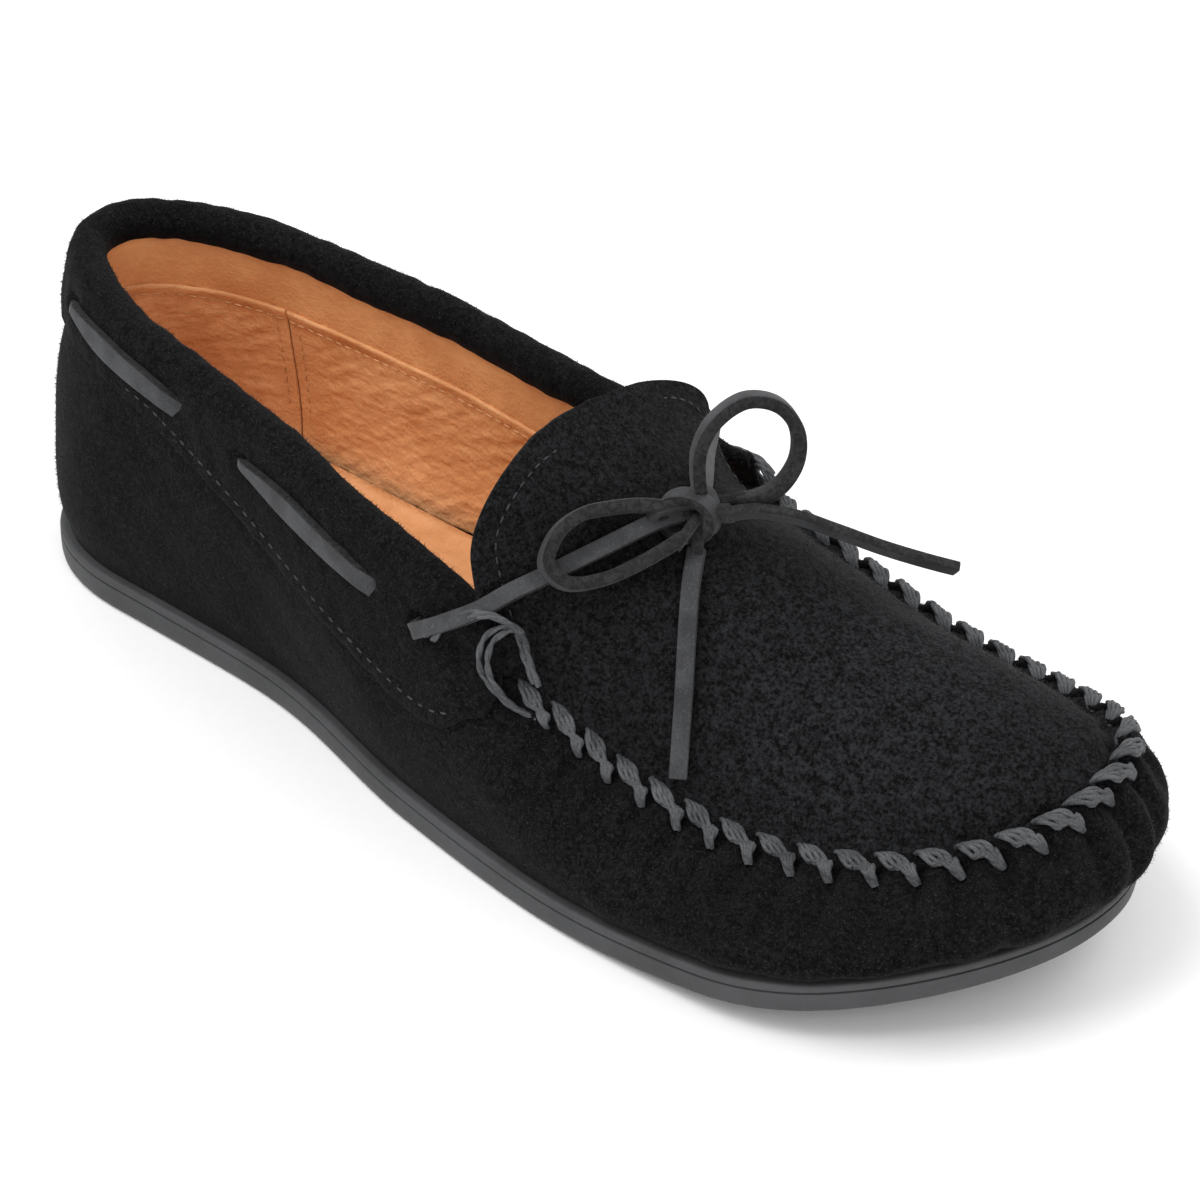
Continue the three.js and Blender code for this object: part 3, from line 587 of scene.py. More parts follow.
def shell(name: str, face: Array, thickness: float, wrap: bool = False,
          edge: float = 0.3) -> Piece:
    """A leather or cloth piece of even thickness behind its outer face, with rounded edges.

    Args:
        name: the piece's name.
        face: outer face, rows by columns by 3, outward by the right-hand rule.
        thickness: how thick it is.
        wrap: whether the rows close into a loop.
        edge: how far the rounded edge stands out, as a share of the thickness.

    Returns:
        The new object.
    """
    normals = grid_normals(face, wrap)
    back = face - normals * thickness
    middle = (face + back) / 2
    top = middle[:, -1:] + unit(middle[:, -1:] - middle[:, -2:-1]) * thickness * edge
    bottom = middle[:, :1] + unit(middle[:, :1] - middle[:, 1:2]) * thickness * edge
    rings = np.concatenate([face, top, back[:, ::-1], bottom], 1)
    if not wrap:
        spine = np.concatenate([middle, top, middle[:, ::-1], bottom], 1)

        def end_ring(first: int, second: int) -> Array:
            """Narrower ring past an end, which rounds it."""
            ahead = unit(spine[first] - spine[second]) * thickness * edge
            return (mix(rings[first], spine[first], 0.45) + ahead)[None]

        rings = np.concatenate([end_ring(0, 1), rings, end_ring(-1, -2)])
    columns = face.shape[1]
    return skin(name, rings, wrap, lambda ring: thin_cap(ring, columns), rings[:, columns // 2])


def thin_cap(ring: Array, columns: int) -> list[list[int]]:
    """Faces that close a thin ring made of a face, an edge point, a back and an edge point.

    Args:
        ring: the ring's vertex numbers.
        columns: how many points its face has.

    Returns:
        The faces.
    """
    ring = ring.tolist()
    last = 2 * columns
    strip = [[ring[j], ring[j + 1], ring[last - j - 1], ring[last - j]] for j in range(columns - 1)]
    ends = [[ring[columns - 1], ring[columns], ring[columns + 1]], [ring[last], ring[last + 1], ring[0]]]
    return strip + ends


STRAP_SIDES = 16
STRAP_CORNER = 0.2      # power of the thong's section; a smaller one is squarer
STRAP_END = 0.86        # size of its cut end as a share of its section
STRAP_BEVEL = 0.25


def strap(line: Array, wide: Array, width: float | Array, thick: float) -> Array:
    """Rings of a flat thong with softened corners and square-cut ends.

    Args:
        line: its middle line.
        wide: direction across its width at each point.
        width: how wide it is, or a width for each point.
        thick: how thick it is.

    Returns:
        Rings for loft.
    """
    ahead = unit(np.gradient(line, axis=0))
    wide = unit(wide - ahead * (wide * ahead).sum(-1, keepdims=True))
    deep = np.cross(ahead, wide)
    turns = np.linspace(0, TURN, STRAP_SIDES, endpoint=False)
    x, y = (np.sign(wave) * np.abs(wave) ** STRAP_CORNER for wave in (np.cos(turns), np.sin(turns)))
    y = y * thick / 2
    half = np.broadcast_to(np.asarray(width, float) / 2, len(line))[:, None, None]
    rings = line[:, None] + wide[:, None] * half * x[None, :, None] + deep[:, None] * y[None, :, None]
    first = line[0] + (rings[0] - line[0]) * STRAP_END - ahead[0] * STRAP_BEVEL
    last = line[-1] + (rings[-1] - line[-1]) * STRAP_END + ahead[-1] * STRAP_BEVEL
    return np.concatenate([first[None], rings, last[None]])


def thong(name: str, line: Array, wide: Array, width: float | Array, thick: float,
          facing: Array | None = None) -> Piece:
    """A flat thong whose attribute "grain" is 1 on its smooth side and 0 on its cut edges and flesh side.

    Args:
        name: the piece's name.
        line: its middle line.
        wide: direction across its width, one for all points or one for each.
        width: how wide it is, or a width for each point.
        thick: how thick it is.
        facing: where its smooth side faces, or None for away from the middle of its loop.

    Returns:
        The new object.
    """
    rings = strap(line, np.broadcast_to(wide, line.shape), width, thick)
    made = loft(name, rings)
    toward = line - line.mean(0) if facing is None else facing
    half = STRAP_SIDES // 2
    top, back = half // 2, half // 2 + half
    middle = top if ((rings[1:-1, top] - rings[1:-1, back]) * toward).sum() > 0 else back
    away = np.abs((np.arange(STRAP_SIDES) - middle + half) % STRAP_SIDES - half)
    layer = made.data.attributes.new("grain", "FLOAT", "POINT")
    layer.data.foreach_set("value", np.tile((away <= 2).astype(np.float32), len(rings)))
    return made


def bed(name: str, grid: Array, wrap: bool = False) -> Piece:
    """An open sheet over a grid, facing outwards, for fibres to stand on.

    Args:
        name: the piece's name.
        grid: rows by columns by 3.
        wrap: whether the rows close into a loop.

    Returns:
        The new object.
    """
    _, a, b = numbers(grid, wrap)
    faces = np.stack([a[:, :-1], b[:, :-1], b[:, 1:], a[:, 1:]], -1).reshape(-1, 4)
    turned = np.cross(grid[1:, :-1] - grid[:-1, :-1], grid[:-1, 1:] - grid[:-1, :-1])
    if (turned * grid_normals(grid, wrap)[:-1, :-1]).sum() < 0:
        faces = faces[:, ::-1]
    return make_piece(name, grid, faces.tolist())


# ---- Node trees ----
def find(sockets: Any, key: int | str) -> bpy.types.NodeSocket:
    """A socket by its number, identifier or name."""
    if isinstance(key, int):
        return sockets[key]
    return next((s for s in sockets if s.identifier == key), None) or sockets[key]


class Sock:
    """A node socket in arithmetic: each operator adds a Math node."""

    def __init__(self, tree: "Tree", socket: bpy.types.NodeSocket) -> None:
        """Wraps an output socket of a tree."""
        self.tree = tree
        self.socket = socket

    def _math(self, operation: str, first: Any, second: Any = 0.0) -> "Sock":
        """A Math node on two values."""
        return self.tree.node("ShaderNodeMath", {"operation": operation}, {0: first, 1: second})

    def __add__(self, other: Any) -> "Sock":
        """Sum."""
        return self._math("ADD", self, other)

    __radd__ = __add__

    def __mul__(self, other: Any) -> "Sock":
        """Product."""
        return self._math("MULTIPLY", self, other)

    __rmul__ = __mul__

    def __sub__(self, other: Any) -> "Sock":
        """Difference."""
        return self._math("SUBTRACT", self, other)

    def __rsub__(self, other: Any) -> "Sock":
        """Difference from a number."""
        return self._math("SUBTRACT", other, self)

    def __pow__(self, other: Any) -> "Sock":
        """Power."""
        return self._math("POWER", self, other)

    def step(self, low: float, high: float) -> "Sock":
        """Eased step from 0 at low to 1 at high."""
        return self.tree.node("ShaderNodeMapRange", {"interpolation_type": "SMOOTHSTEP"},
                              {"Value": self, "From Min": low, "From Max": high})


class Tree:
    """Builds a node tree from Python values."""

    def __init__(self, tree: bpy.types.NodeTree) -> None:
        """Starts from an empty tree."""
        self.tree = tree
        tree.nodes.clear()

    def node(self, kind: str, settings: dict[str, Any] | None = None, inputs: dict[Any, Any] | None = None,
             output: int | str = 0) -> Sock:
        """Adds a node.

        Args:
            kind: the node's type.
            settings: properties, set first; stops fills a colour ramp.
            inputs: values or links, by socket number, identifier or name; a list links several.
            output: which output comes back.

        Returns:
            The output socket.
        """
        made = self.tree.nodes.new(kind)
        for name, value in (settings or {}).items():
            if name == "stops":
                self._set_stops(made.color_ramp, value)
            else:
                setattr(made, name, value)
        for key, value in (inputs or {}).items():
            target = find(made.inputs, key)
            for one in value if isinstance(value, list) else [value]:
                if isinstance(one, Sock):
                    self.tree.links.new(one.socket, target)
                else:
                    target.default_value = one
        return Sock(self, find(made.outputs, output)) if len(made.outputs) else Sock(self, None)

    @staticmethod
    def _set_stops(ramp: bpy.types.ColorRamp, stops: Sequence[tuple[float, Sequence[float]]]) -> None:
        """Fills a colour ramp.

        Args:
            ramp: the ramp.
            stops: pairs of place and colour.
        """
        while len(ramp.elements) < len(stops):
            ramp.elements.new(1.0)
        for element, (place, colour) in zip(ramp.elements, stops):
            element.position = place
            element.color = (*colour, 1.0)

    def noise(self, place: Sock, scale: float, detail: float = 2.0, rough: float = 0.5,
              bend: float = 0.0) -> Sock:
        """Noise from 0 to 1 at a scale per metre."""
        return self.node("ShaderNodeTexNoise", {}, {"Vector": place, "Scale": scale, "Detail": detail,
                                                    "Roughness": rough, "Distortion": bend})

    def colours(self, factor: Any, first: Any, second: Any) -> Sock:
        """A mix of two colours."""
        first, second = ((*c, 1.0) if isinstance(c, tuple) else c for c in (first, second))
        return self.node("ShaderNodeMix", {"data_type": "RGBA", "blend_type": "MIX", "clamp_factor": True},
                         {"Factor_Float": factor, "A_Color": first, "B_Color": second}, "Result_Color")

    def stretched(self, place: Sock, scale: Sequence[float]) -> Sock:
        """Coordinates scaled by axis, so that a pattern is drawn out."""
        return self.node("ShaderNodeMapping", {}, {"Vector": place, "Scale": tuple(scale)})

    def bump(self, height: Sock, depth: float) -> Sock:
        """Normals of a fine relief, with its depth in metres."""
        return self.node("ShaderNodeBump", {}, {"Height": height, "Distance": depth, "Strength": 1.0})


# ---- Finishes ----
@dataclass(frozen=True)
class Finish:
    """A material made from nodes."""

    name: str
    slot: str

    def material(self) -> bpy.types.Material:
        """The material, made once."""
        known = bpy.data.materials.get(self.name)
        if known:
            return known
        made = bpy.data.materials.new(self.name)
        made.use_nodes = True
        tree = Tree(made.node_tree)
        place = tree.node("ShaderNodeTexCoord", output="Object")
        shader = tree.node("ShaderNodeBsdfPrincipled", {}, self.inputs(tree, place))
        tree.node("ShaderNodeOutputMaterial", {}, {"Surface": shader})
        return made

    def inputs(self, tree: Tree, place: Sock) -> dict[str, Any]:
        """Values and links of the shader's sockets."""
        raise NotImplementedError


@dataclass(frozen=True)
class Suede(Finish):
    """Napped split leather: brushed patches where the nap lies another way, and an optional painted
    highlight.
    """

    dark: Triple = (0.0011, 0.0011, 0.0013)
    pale: Triple = (0.0094, 0.0095, 0.0102)
    sheen: float = 0.028
    relief: float = 0.00045
    brushed: float = 0.4
    # Centre of a painted highlight that lightens the suede round it; None for none.
    paler_patch: Triple | None = None

    def inputs(self, tree: Tree, place: Sock) -> dict[str, Any]:
        """The shader's sockets."""
        nap = tree.noise(place, 1250, 2, 0.6)
        tuft = tree.noise(place, 560, 2, 0.6, 0.4)
        lay = tree.noise(place, 22, 3, 0.55, 0.6)
        patch = tree.noise(place, 95, 2, 0.5)
        fleck = tree.noise(place, 1900, 1, 0.5).step(0.6, 0.76)
        lie = (lay * 0.85 + patch * 0.15).step(0.3, 0.74)
        shade = (nap * 0.6 + tuft * 0.4).step(0.36, 0.68) * (1 - self.brushed + lie * self.brushed)
        # Painted highlight: the colour is lightened round the centre, standing in for soft light on the
        # plug's crown.
        if self.paler_patch:
            away = tree.node("ShaderNodeVectorMath", {"operation": "DISTANCE"}, {0: place, 1: self.paler_patch},
                             "Value")
            shade = shade * (1.25 - away.step(0.008, 0.055) * 0.45)
        colour = tree.colours(shade, self.dark, self.pale)
        colour = tree.colours(fleck * (0.08 + lie * 0.08), colour, (0.1, 0.1, 0.105))
        height = nap * 0.5 + tuft * 0.75
        return {"Base Color": colour, "Roughness": 0.78 + nap * 0.2, "Specular IOR Level": 0.06,
                "Sheen Weight": self.sheen, "Sheen Roughness": 0.45, "Sheen Tint": (0.62, 0.63, 0.66, 1.0),
                "Normal": tree.bump(height, self.relief)}


@dataclass(frozen=True)
class LiningLeather(Finish):
    """Soft tan leather with pebbled grain and creases, random tone, and painted shade in the hollows of the
    folds.
    """

    pale: Triple = (0.81, 0.43, 0.20)
    deep: Triple = (0.63, 0.28, 0.108)
    crease: float = 1.0

    def inputs(self, tree: Tree, place: Sock) -> dict[str, Any]:
        """The shader's sockets."""
        drawn = tree.stretched(place, (0.42, 0.42, 1.0))
        grain = tree.node("ShaderNodeTexVoronoi", {"feature": "SMOOTH_F1"},
                          {"Vector": place, "Scale": 1150, "Smoothness": 0.6, "Randomness": 1.0}, "Distance")
        pores = tree.noise(place, 2400, 2, 0.6)
        folds = tree.noise(drawn, 330, 4, 0.62, 0.9)
        tone = tree.noise(place, 42, 4, 0.6, 0.5)
        cloud = tree.noise(place, 14, 2, 0.5)
        # Painted shade: the fold noise that raises the creases also darkens their hollows; tone and cloud
        # give random tone.
        tone_and_crease_shade = (tone * 0.55 + folds * 0.3 + cloud * 0.15).step(0.34, 0.66)
        colour = tree.colours(tone_and_crease_shade, self.deep, self.pale)
        colour = tree.colours(pores.step(0.58, 0.8) * 0.25, colour, (0.45, 0.18, 0.06))
        height = folds * (0.6 * self.crease) + grain * 0.5 + pores * 0.12
        return {"Base Color": colour, "Roughness": 0.5 + grain * 0.25, "Specular IOR Level": 0.28,
                "Normal": tree.bump(height, 0.0003)}


@dataclass(frozen=True)
class Thong(Finish):
    """Dyed thong leather: smooth grain side, finely fibrous, with lighter patches of wear."""

    def inputs(self, tree: Tree, place: Sock) -> dict[str, Any]:
        """The shader's sockets."""
        surface = tree.node("ShaderNodeUVMap", {"uv_map": "surface"})
        fibres = tree.noise(tree.stretched(surface, (260.0, 2600.0, 1.0)), 1.0, 3, 0.6)
        pores = tree.noise(place, 1900, 3, 0.6)
        cloud = tree.noise(place, 150, 3, 0.5)
        tuft = tree.noise(place, 820, 3, 0.65, 0.6)
        grain = tree.node("ShaderNodeAttribute", {"attribute_name": "grain"}, output="Fac")
        paler_patch = (cloud * 0.6 + pores * 0.4).step(0.36, 0.7)
        smooth_side = tree.colours(paler_patch, (0.021, 0.0215, 0.023), (0.050, 0.051, 0.054))
        smooth_side = tree.colours(pores.step(0.58, 0.78) * 0.4, smooth_side, (0.1, 0.101, 0.105))
        flesh_side = tree.colours(tuft.step(0.36, 0.7), (0.0035, 0.0036, 0.004), (0.021, 0.0215, 0.0225))
        height = fibres * 0.4 + pores * 0.5 + (1 - grain) * tuft * 1.6
        return {"Base Color": tree.colours(grain, flesh_side, smooth_side), "Roughness": 0.62 + pores * 0.22,
                "Specular IOR Level": 0.24, "Sheen Weight": 0.06, "Normal": tree.bump(height, 0.00018)}


@dataclass(frozen=True)
class Thread(Finish):
    """Waxed thread with fine lengthwise filaments."""

    pale: Triple = (0.088, 0.090, 0.096)
    deep: Triple = (0.022, 0.023, 0.025)

    def inputs(self, tree: Tree, place: Sock) -> dict[str, Any]:
        """The shader's sockets."""
        filament = tree.noise(place, 2300, 3, 0.7, 0.8)
        patch = tree.noise(place, 190, 2, 0.5)
        tone = (filament * 0.6 + patch * 0.4).step(0.34, 0.68)
        return {"Base Color": tree.colours(tone, self.deep, self.pale), "Roughness": 0.5 + filament * 0.25,
                "Specular IOR Level": 0.4, "Normal": tree.bump(filament, 0.00014)}


@dataclass(frozen=True)
class Rubber(Finish):
    """Moulded matt rubber with a faint orange-peel skin and light scuffs."""

    def inputs(self, tree: Tree, place: Sock) -> dict[str, Any]:
        """The shader's sockets."""
        peel = tree.noise(place, 900, 3, 0.55)
        cloud = tree.noise(place, 55, 4, 0.6)
        scuff = tree.noise(tree.stretched(place, (0.2, 0.2, 1.6)), 700, 3, 0.7, 1.2).step(0.6, 0.82)
        colour = tree.colours(cloud.step(0.3, 0.7), (0.028, 0.0285, 0.030), (0.044, 0.0445, 0.047))
        colour = tree.colours(scuff * 0.3, colour, (0.1, 0.1, 0.105))
        return {"Base Color": colour, "Roughness": 0.5 + peel * 0.22 + scuff * 0.1,
                "Specular IOR Level": 0.45, "Normal": tree.bump(peel * 0.7 - scuff * 0.3, 0.00012)}


@dataclass(frozen=True)
class Foam(Finish):
    """Open foam with small cells."""

    tint: Triple = (0.68, 0.60, 0.42)

    def inputs(self, tree: Tree, place: Sock) -> dict[str, Any]:
        """The shader's sockets."""
        cells = tree.node("ShaderNodeTexVoronoi", {}, {"Vector": place, "Scale": 900}, "Distance")
        tone = tree.noise(place, 60, 3)
        dark = tuple(0.6 * c for c in self.tint)
        colour = tree.colours((cells * 0.8 + tone * 0.4).step(0.2, 0.7), dark, self.tint)
        return {"Base Color": colour, "Roughness": 0.92, "Normal": tree.bump(cells, 0.0005)}


@dataclass(frozen=True)
class FibreBoard(Finish):
    """Pressed fibre board with short crossed fibres."""

    def inputs(self, tree: Tree, place: Sock) -> dict[str, Any]:
        """The shader's sockets."""
        one = tree.noise(tree.stretched(place, (0.15, 1.0, 1.0)), 1300, 3, 0.6)
        other = tree.noise(tree.stretched(place, (1.0, 0.15, 1.0)), 1300, 3, 0.6)
        fibres = one * 0.5 + other * 0.5
        colour = tree.colours(fibres.step(0.35, 0.65), (0.16, 0.11, 0.06), (0.33, 0.24, 0.14))
        return {"Base Color": colour, "Roughness": 0.9, "Normal": tree.bump(fibres, 0.0002)}


@dataclass(frozen=True)
class BackingCloth(Finish):
    """Plain woven backing cloth."""

    def inputs(self, tree: Tree, place: Sock) -> dict[str, Any]:
        """The shader's sockets."""
        surface = tree.node("ShaderNodeUVMap", {"uv_map": "surface"})
        settings = {"wave_type": "BANDS", "wave_profile": "SIN"}
        warp, weft = (tree.node("ShaderNodeTexWave", {**settings, "bands_direction": direction},
                                {"Vector": surface, "Scale": 320, "Distortion": 0.4}, "Fac")
                      for direction in "XY")
        weave = warp * 0.5 + weft * 0.5
        tone = tree.noise(place, 120, 3)
        colour = tree.colours(weave * 0.7 + tone * 0.3, (0.075, 0.055, 0.038), (0.2, 0.15, 0.105))
        return {"Base Color": colour, "Roughness": 0.9, "Normal": tree.bump(weave, 0.0002)}


@dataclass(frozen=True)
class Paper(Finish):
    """Plain pale studio floor."""

    def inputs(self, tree: Tree, place: Sock) -> dict[str, Any]:
        """The shader's sockets."""
        grain = tree.noise(place, 400, 2)
        return {"Base Color": tree.colours(grain, (0.86, 0.86, 0.86), (0.88, 0.88, 0.88)), "Roughness": 0.85,
                "Specular IOR Level": 0.1}


SUEDE = Suede("napped_suede", "black_suede")
CUFF_SUEDE = Suede("collar_suede", "black_suede", pale=(0.0092, 0.0093, 0.0099), relief=0.0005)
# Painted highlight: the plug's suede is paler than the vamp's to stand in for light on its upward face, and
# lighter still round its crown.
PLUG_SUEDE_PAINTED_HIGHLIGHT = Suede("plug_suede_painted_highlight", "black_suede", pale=(0.0185, 0.0190, 0.0204), brushed=0.15,
                   paler_patch=(0.09, 0.004, 0.048))
SUEDE_BACK = Suede("suede_flesh_side", "black_suede", pale=(0.04, 0.04, 0.042), relief=0.0005)
TAN = LiningLeather("tan_lining_leather", "tan_leather")
TAN_BAND = LiningLeather("tan_collar_leather", "tan_leather", pale=(0.80, 0.41, 0.175), crease=0.35)
TAN_THREAD = Thread("tan_thread", "waxed_thread", pale=(0.75, 0.42, 0.2), deep=(0.45, 0.2, 0.07))
BLACK_THREAD = Thread("black_thread", "waxed_thread", pale=(0.04, 0.04, 0.043), deep=(0.008, 0.008, 0.009))
SEAM_THREAD = Thread("waxed_seam_thread", "waxed_thread")
NAP = Thread("nap_fibres", "black_suede", pale=(0.036, 0.0365, 0.039), deep=(0.005, 0.005, 0.0055))
THONG = Thong("dyed_thong", "thong_leather")
RUBBER = Rubber("sole_rubber", "rubber")
FOAM = Foam("open_foam", "foam")
BOARD = FibreBoard("fibre_board", "board")
CLOTH = BackingCloth("backing_cloth", "lining_cloth")


def paint(piece: Piece, finish: Finish) -> None:
    """Gives a piece its only material."""
    piece.data.materials.clear()
    piece.data.materials.append(finish.material())


def dress(piece: Piece, finish: Finish, nodes: Sequence[str] = (),
          body: Body | None = Body.SHOE) -> Piece:
    """Gives a piece its finish and its body, and hides the frame nodes that it stands for.

    Args:
        piece: the finished piece.
        finish: its finish.
        nodes: names of the nodes that it replaces.
        body: the body that it rides on, or None, which leaves it unparented.

    Returns:
        The same piece.
    """
    paint(piece, finish)
    if nodes:
        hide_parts(*nodes)
    if body:
        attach(piece, body.value)
    log.info("%s: %d faces, finish %s", piece.name, len(piece.data.polygons), finish.name)
    return piece


# ---- Thread, laid by Geometry Nodes ----
class ThreadTree:
    """A Geometry Nodes tree that turns lines into thread. Its sizes are inputs, in metres."""

    def __init__(self, name: str, sizes: dict[str, float]) -> None:
        """Makes the group with a geometry input, the named sizes and a geometry output.

        Args:
            name: the group's name.
            sizes: each size's name and usual value.
        """
        self.group = bpy.data.node_groups.new(name, "GeometryNodeTree")
        face = self.group.interface
        face.new_socket("Geometry", in_out="INPUT", socket_type="NodeSocketGeometry")
        face.new_socket("Geometry", in_out="OUTPUT", socket_type="NodeSocketGeometry")
        self.keys = {}
        for key, value in sizes.items():
            socket = face.new_socket(key, in_out="INPUT", socket_type="NodeSocketFloat")
            socket.default_value = value
            self.keys[key] = socket.identifier
        self.tree = Tree(self.group)
        self.start = self.group.nodes.new("NodeGroupInput")

    def size(self, key: str) -> Sock:
        """One of the tree's sizes."""
        return Sock(self.tree, self.start.outputs[key])

    def lines(self) -> Sock:
        """The lines, as curves."""
        geometry = Sock(self.tree, self.start.outputs["Geometry"])
        return self.tree.node("GeometryNodeMeshToCurve", {}, {"Mesh": geometry})

    def close(self, mesh: Sock, finish: Finish) -> None:
        """Ends the tree in a smooth, plain mesh with its material.

        Args:
            mesh: what the tree has made.
            finish: its finish.
        """
        real = self.tree.node("GeometryNodeRealizeInstances", {}, {"Geometry": mesh})
        even = self.tree.node("GeometryNodeSetShadeSmooth", {}, {"Geometry": real})
        dressed = self.tree.node("GeometryNodeSetMaterial", {},
                                 {"Geometry": even, "Material": finish.material()})
        self.tree.node("NodeGroupOutput", {}, {"Geometry": dressed})

    def scatter(self, points: Sock, shape: Sock, long: Sock) -> Sock:
        """Stands a shape on points, as wide as the tree's Thickness.

        Args:
            points: the points, from a node that also gives their rotation.
            shape: the shape, 1 metre long and wide or twice as wide.
            long: length of each copy.

        Returns:
            The instances.
        """
        turned = Sock(self.tree, find(points.socket.node.outputs, "Rotation"))
        wide = self.size("Thickness")
        scale = self.tree.node("ShaderNodeCombineXYZ", {}, {"X": wide, "Y": wide, "Z": long})
        return self.tree.node("GeometryNodeInstanceOnPoints", {},
                              {"Points": points, "Instance": shape, "Rotation": turned, "Scale": scale})

    def grow(self, name: str, lines: Sequence[Array], **sizes: float) -> Piece:
        """Lays thread along lines.

        Args:
            name: the piece's name.
            lines: lines in the last's millimetres.
            sizes: the tree's sizes that differ from its own, with _ for a space.

        Returns:
            A plain mesh object.
        """
        points = (np.concatenate(lines) + LAST.shift) * MM
        edges, first = [], 0
        for line in lines:
            edges += [(first + i, first + i + 1) for i in range(len(line) - 1)]
            first += len(line)
        mesh = bpy.data.meshes.new(name)
        mesh.from_pydata(points.tolist(), edges, [])
        return self.lay(add_object(name, mesh), sizes)

    def lay(self, made: Piece, sizes: dict[str, float]) -> Piece:
        """Runs the tree on an object and keeps the result as its plain mesh.

        Args:
            made: the object, which holds the lines or the sheet.
            sizes: the tree's sizes that differ from its own, with _ for a space.

        Returns:
            The same object.
        """
        modifier = made.modifiers.new("thread", "NODES")
        modifier.node_group = self.group
        for key, value in sizes.items():
            modifier[self.keys[key.replace("_", " ")]] = value
        bpy.context.view_layer.update()
        result = made.evaluated_get(bpy.context.evaluated_depsgraph_get())
        plain = bpy.data.meshes.new_from_object(result)
        made.modifiers.remove(modifier)
        made.data = plain
        return made


class NapFibres(ThreadTree):
    """Loose fibres that stand up from napped leather."""

    def __init__(self, name: str, finish: Finish) -> None:
        """Builds the tree: points over the leather, each with a thin leaning cone.

        Args:
            name: the tree's name.
            finish: the fibres' finish.
        """
        super().__init__(name, {"Density": 900000.0, "Fibre": 0.00095, "Thickness": 0.00006})
        t = self.tree
        leather = Sock(t, self.start.outputs["Geometry"])
        points = t.node("GeometryNodeDistributePointsOnFaces", {"distribute_method": "RANDOM"},
                        {"Mesh": leather, "Density": self.size("Density"), "Seed": 7})
        cone = t.node("GeometryNodeMeshCone", {}, {"Vertices": 3, "Radius Top": 0.0, "Radius Bottom": 1.0,
                                                   "Depth": 1.0})
        long = t.node("FunctionNodeRandomValue", {"data_type": "FLOAT"},
                      {"Min_001": 0.35, "Max_001": 1.25, "Seed": 11}, "Value_001")
        laid = self.scatter(points, cone, long * self.size("Fibre"))
        lean = t.node("FunctionNodeRandomValue", {"data_type": "FLOAT_VECTOR"},
                      {"Min": (-1.0, -1.0, -3.1), "Max": (1.0, 1.0, 3.1), "Seed": 3}, "Value")
        leaning = t.node("GeometryNodeRotateInstances", {}, {"Instances": laid, "Rotation": lean})
        self.close(leaning, finish)


class MachineStitches(ThreadTree):
    """Rows of short straight stitches."""

    def __init__(self, name: str, finish: Finish) -> None:
        """Builds the tree: points a pitch apart, each with a small rounded stitch along the row.

        Args:
            name: the tree's name.
            finish: the stitches' finish.
        """
        super().__init__(name, {"Pitch": 0.0028, "Stitch": 0.0021, "Thickness": 0.0006})
        t = self.tree
        spaced = t.node("GeometryNodeResampleCurve", {"mode": "LENGTH"},
                        {"Curve": self.lines(), "Length": self.size("Pitch")})
        points = t.node("GeometryNodeCurveToPoints", {"mode": "EVALUATED"}, {"Curve": spaced})
        bead = t.node("GeometryNodeMeshUVSphere", {}, {"Segments": 6, "Rings": 5, "Radius": 0.5})
        self.close(self.scatter(points, bead, self.size("Stitch")), finish)


class PliedThread(ThreadTree):
    """Thread of two plies that turn round each other along each line."""

    def __init__(self, name: str, finish: Finish) -> None:
        """Builds the tree: each ply is the line moved out by a turning offset, then given a round section.

        Args:
            name: the tree's name.
            finish: the thread's finish.
        """
        super().__init__(name, {"Ply radius": 0.00045, "Offset": 0.00034, "Lay": 0.0042, "Step": 0.0005})
        t = self.tree
        fine = t.node("GeometryNodeResampleCurve", {"mode": "LENGTH"},
                      {"Curve": self.lines(), "Length": self.size("Step")})
        travelled = t.node("GeometryNodeSplineParameter", output="Length")
        turn = t.node("ShaderNodeMath", {"operation": "DIVIDE"}, {0: travelled, 1: self.size("Lay")}) * TURN
        normal = t.node("GeometryNodeInputNormal")
        ahead = t.node("GeometryNodeInputTangent")

        def vector(operation: str, inputs: dict[Any, Any]) -> Sock:
            """A Vector Math node."""
            return t.node("ShaderNodeVectorMath", {"operation": operation}, inputs)

        across = vector("CROSS_PRODUCT", {0: normal, 1: ahead})
        section = t.node("GeometryNodeCurvePrimitiveCircle", {},
                         {"Resolution": 6, "Radius": self.size("Ply radius")})
        tubes, plies = [], 2
        for ply in range(plies):
            phase = turn + TURN * ply / plies
            wave, other = (t.node("ShaderNodeMath", {"operation": kind}, {0: phase}) * self.size("Offset")
                           for kind in ("COSINE", "SINE"))
            one = vector("SCALE", {0: normal, "Scale": wave})
            two = vector("SCALE", {0: across, "Scale": other})
            moved = t.node("GeometryNodeSetPosition", {},
                           {"Geometry": fine, "Offset": vector("ADD", {0: one, 1: two})})
            tubes.append(t.node("GeometryNodeCurveToMesh", {},
                                {"Curve": moved, "Profile Curve": section, "Fill Caps": True}))
        self.close(t.node("GeometryNodeJoinGeometry", {}, {"Geometry": tubes}), finish)


def nap(name: str, grid: Array, wrap: bool = False) -> Piece:
    """Fibres over the outer face of napped leather."""
    tree = NapFibres(name + "_tree", NAP)
    return tree.lay(bed(name, grid, wrap), {})


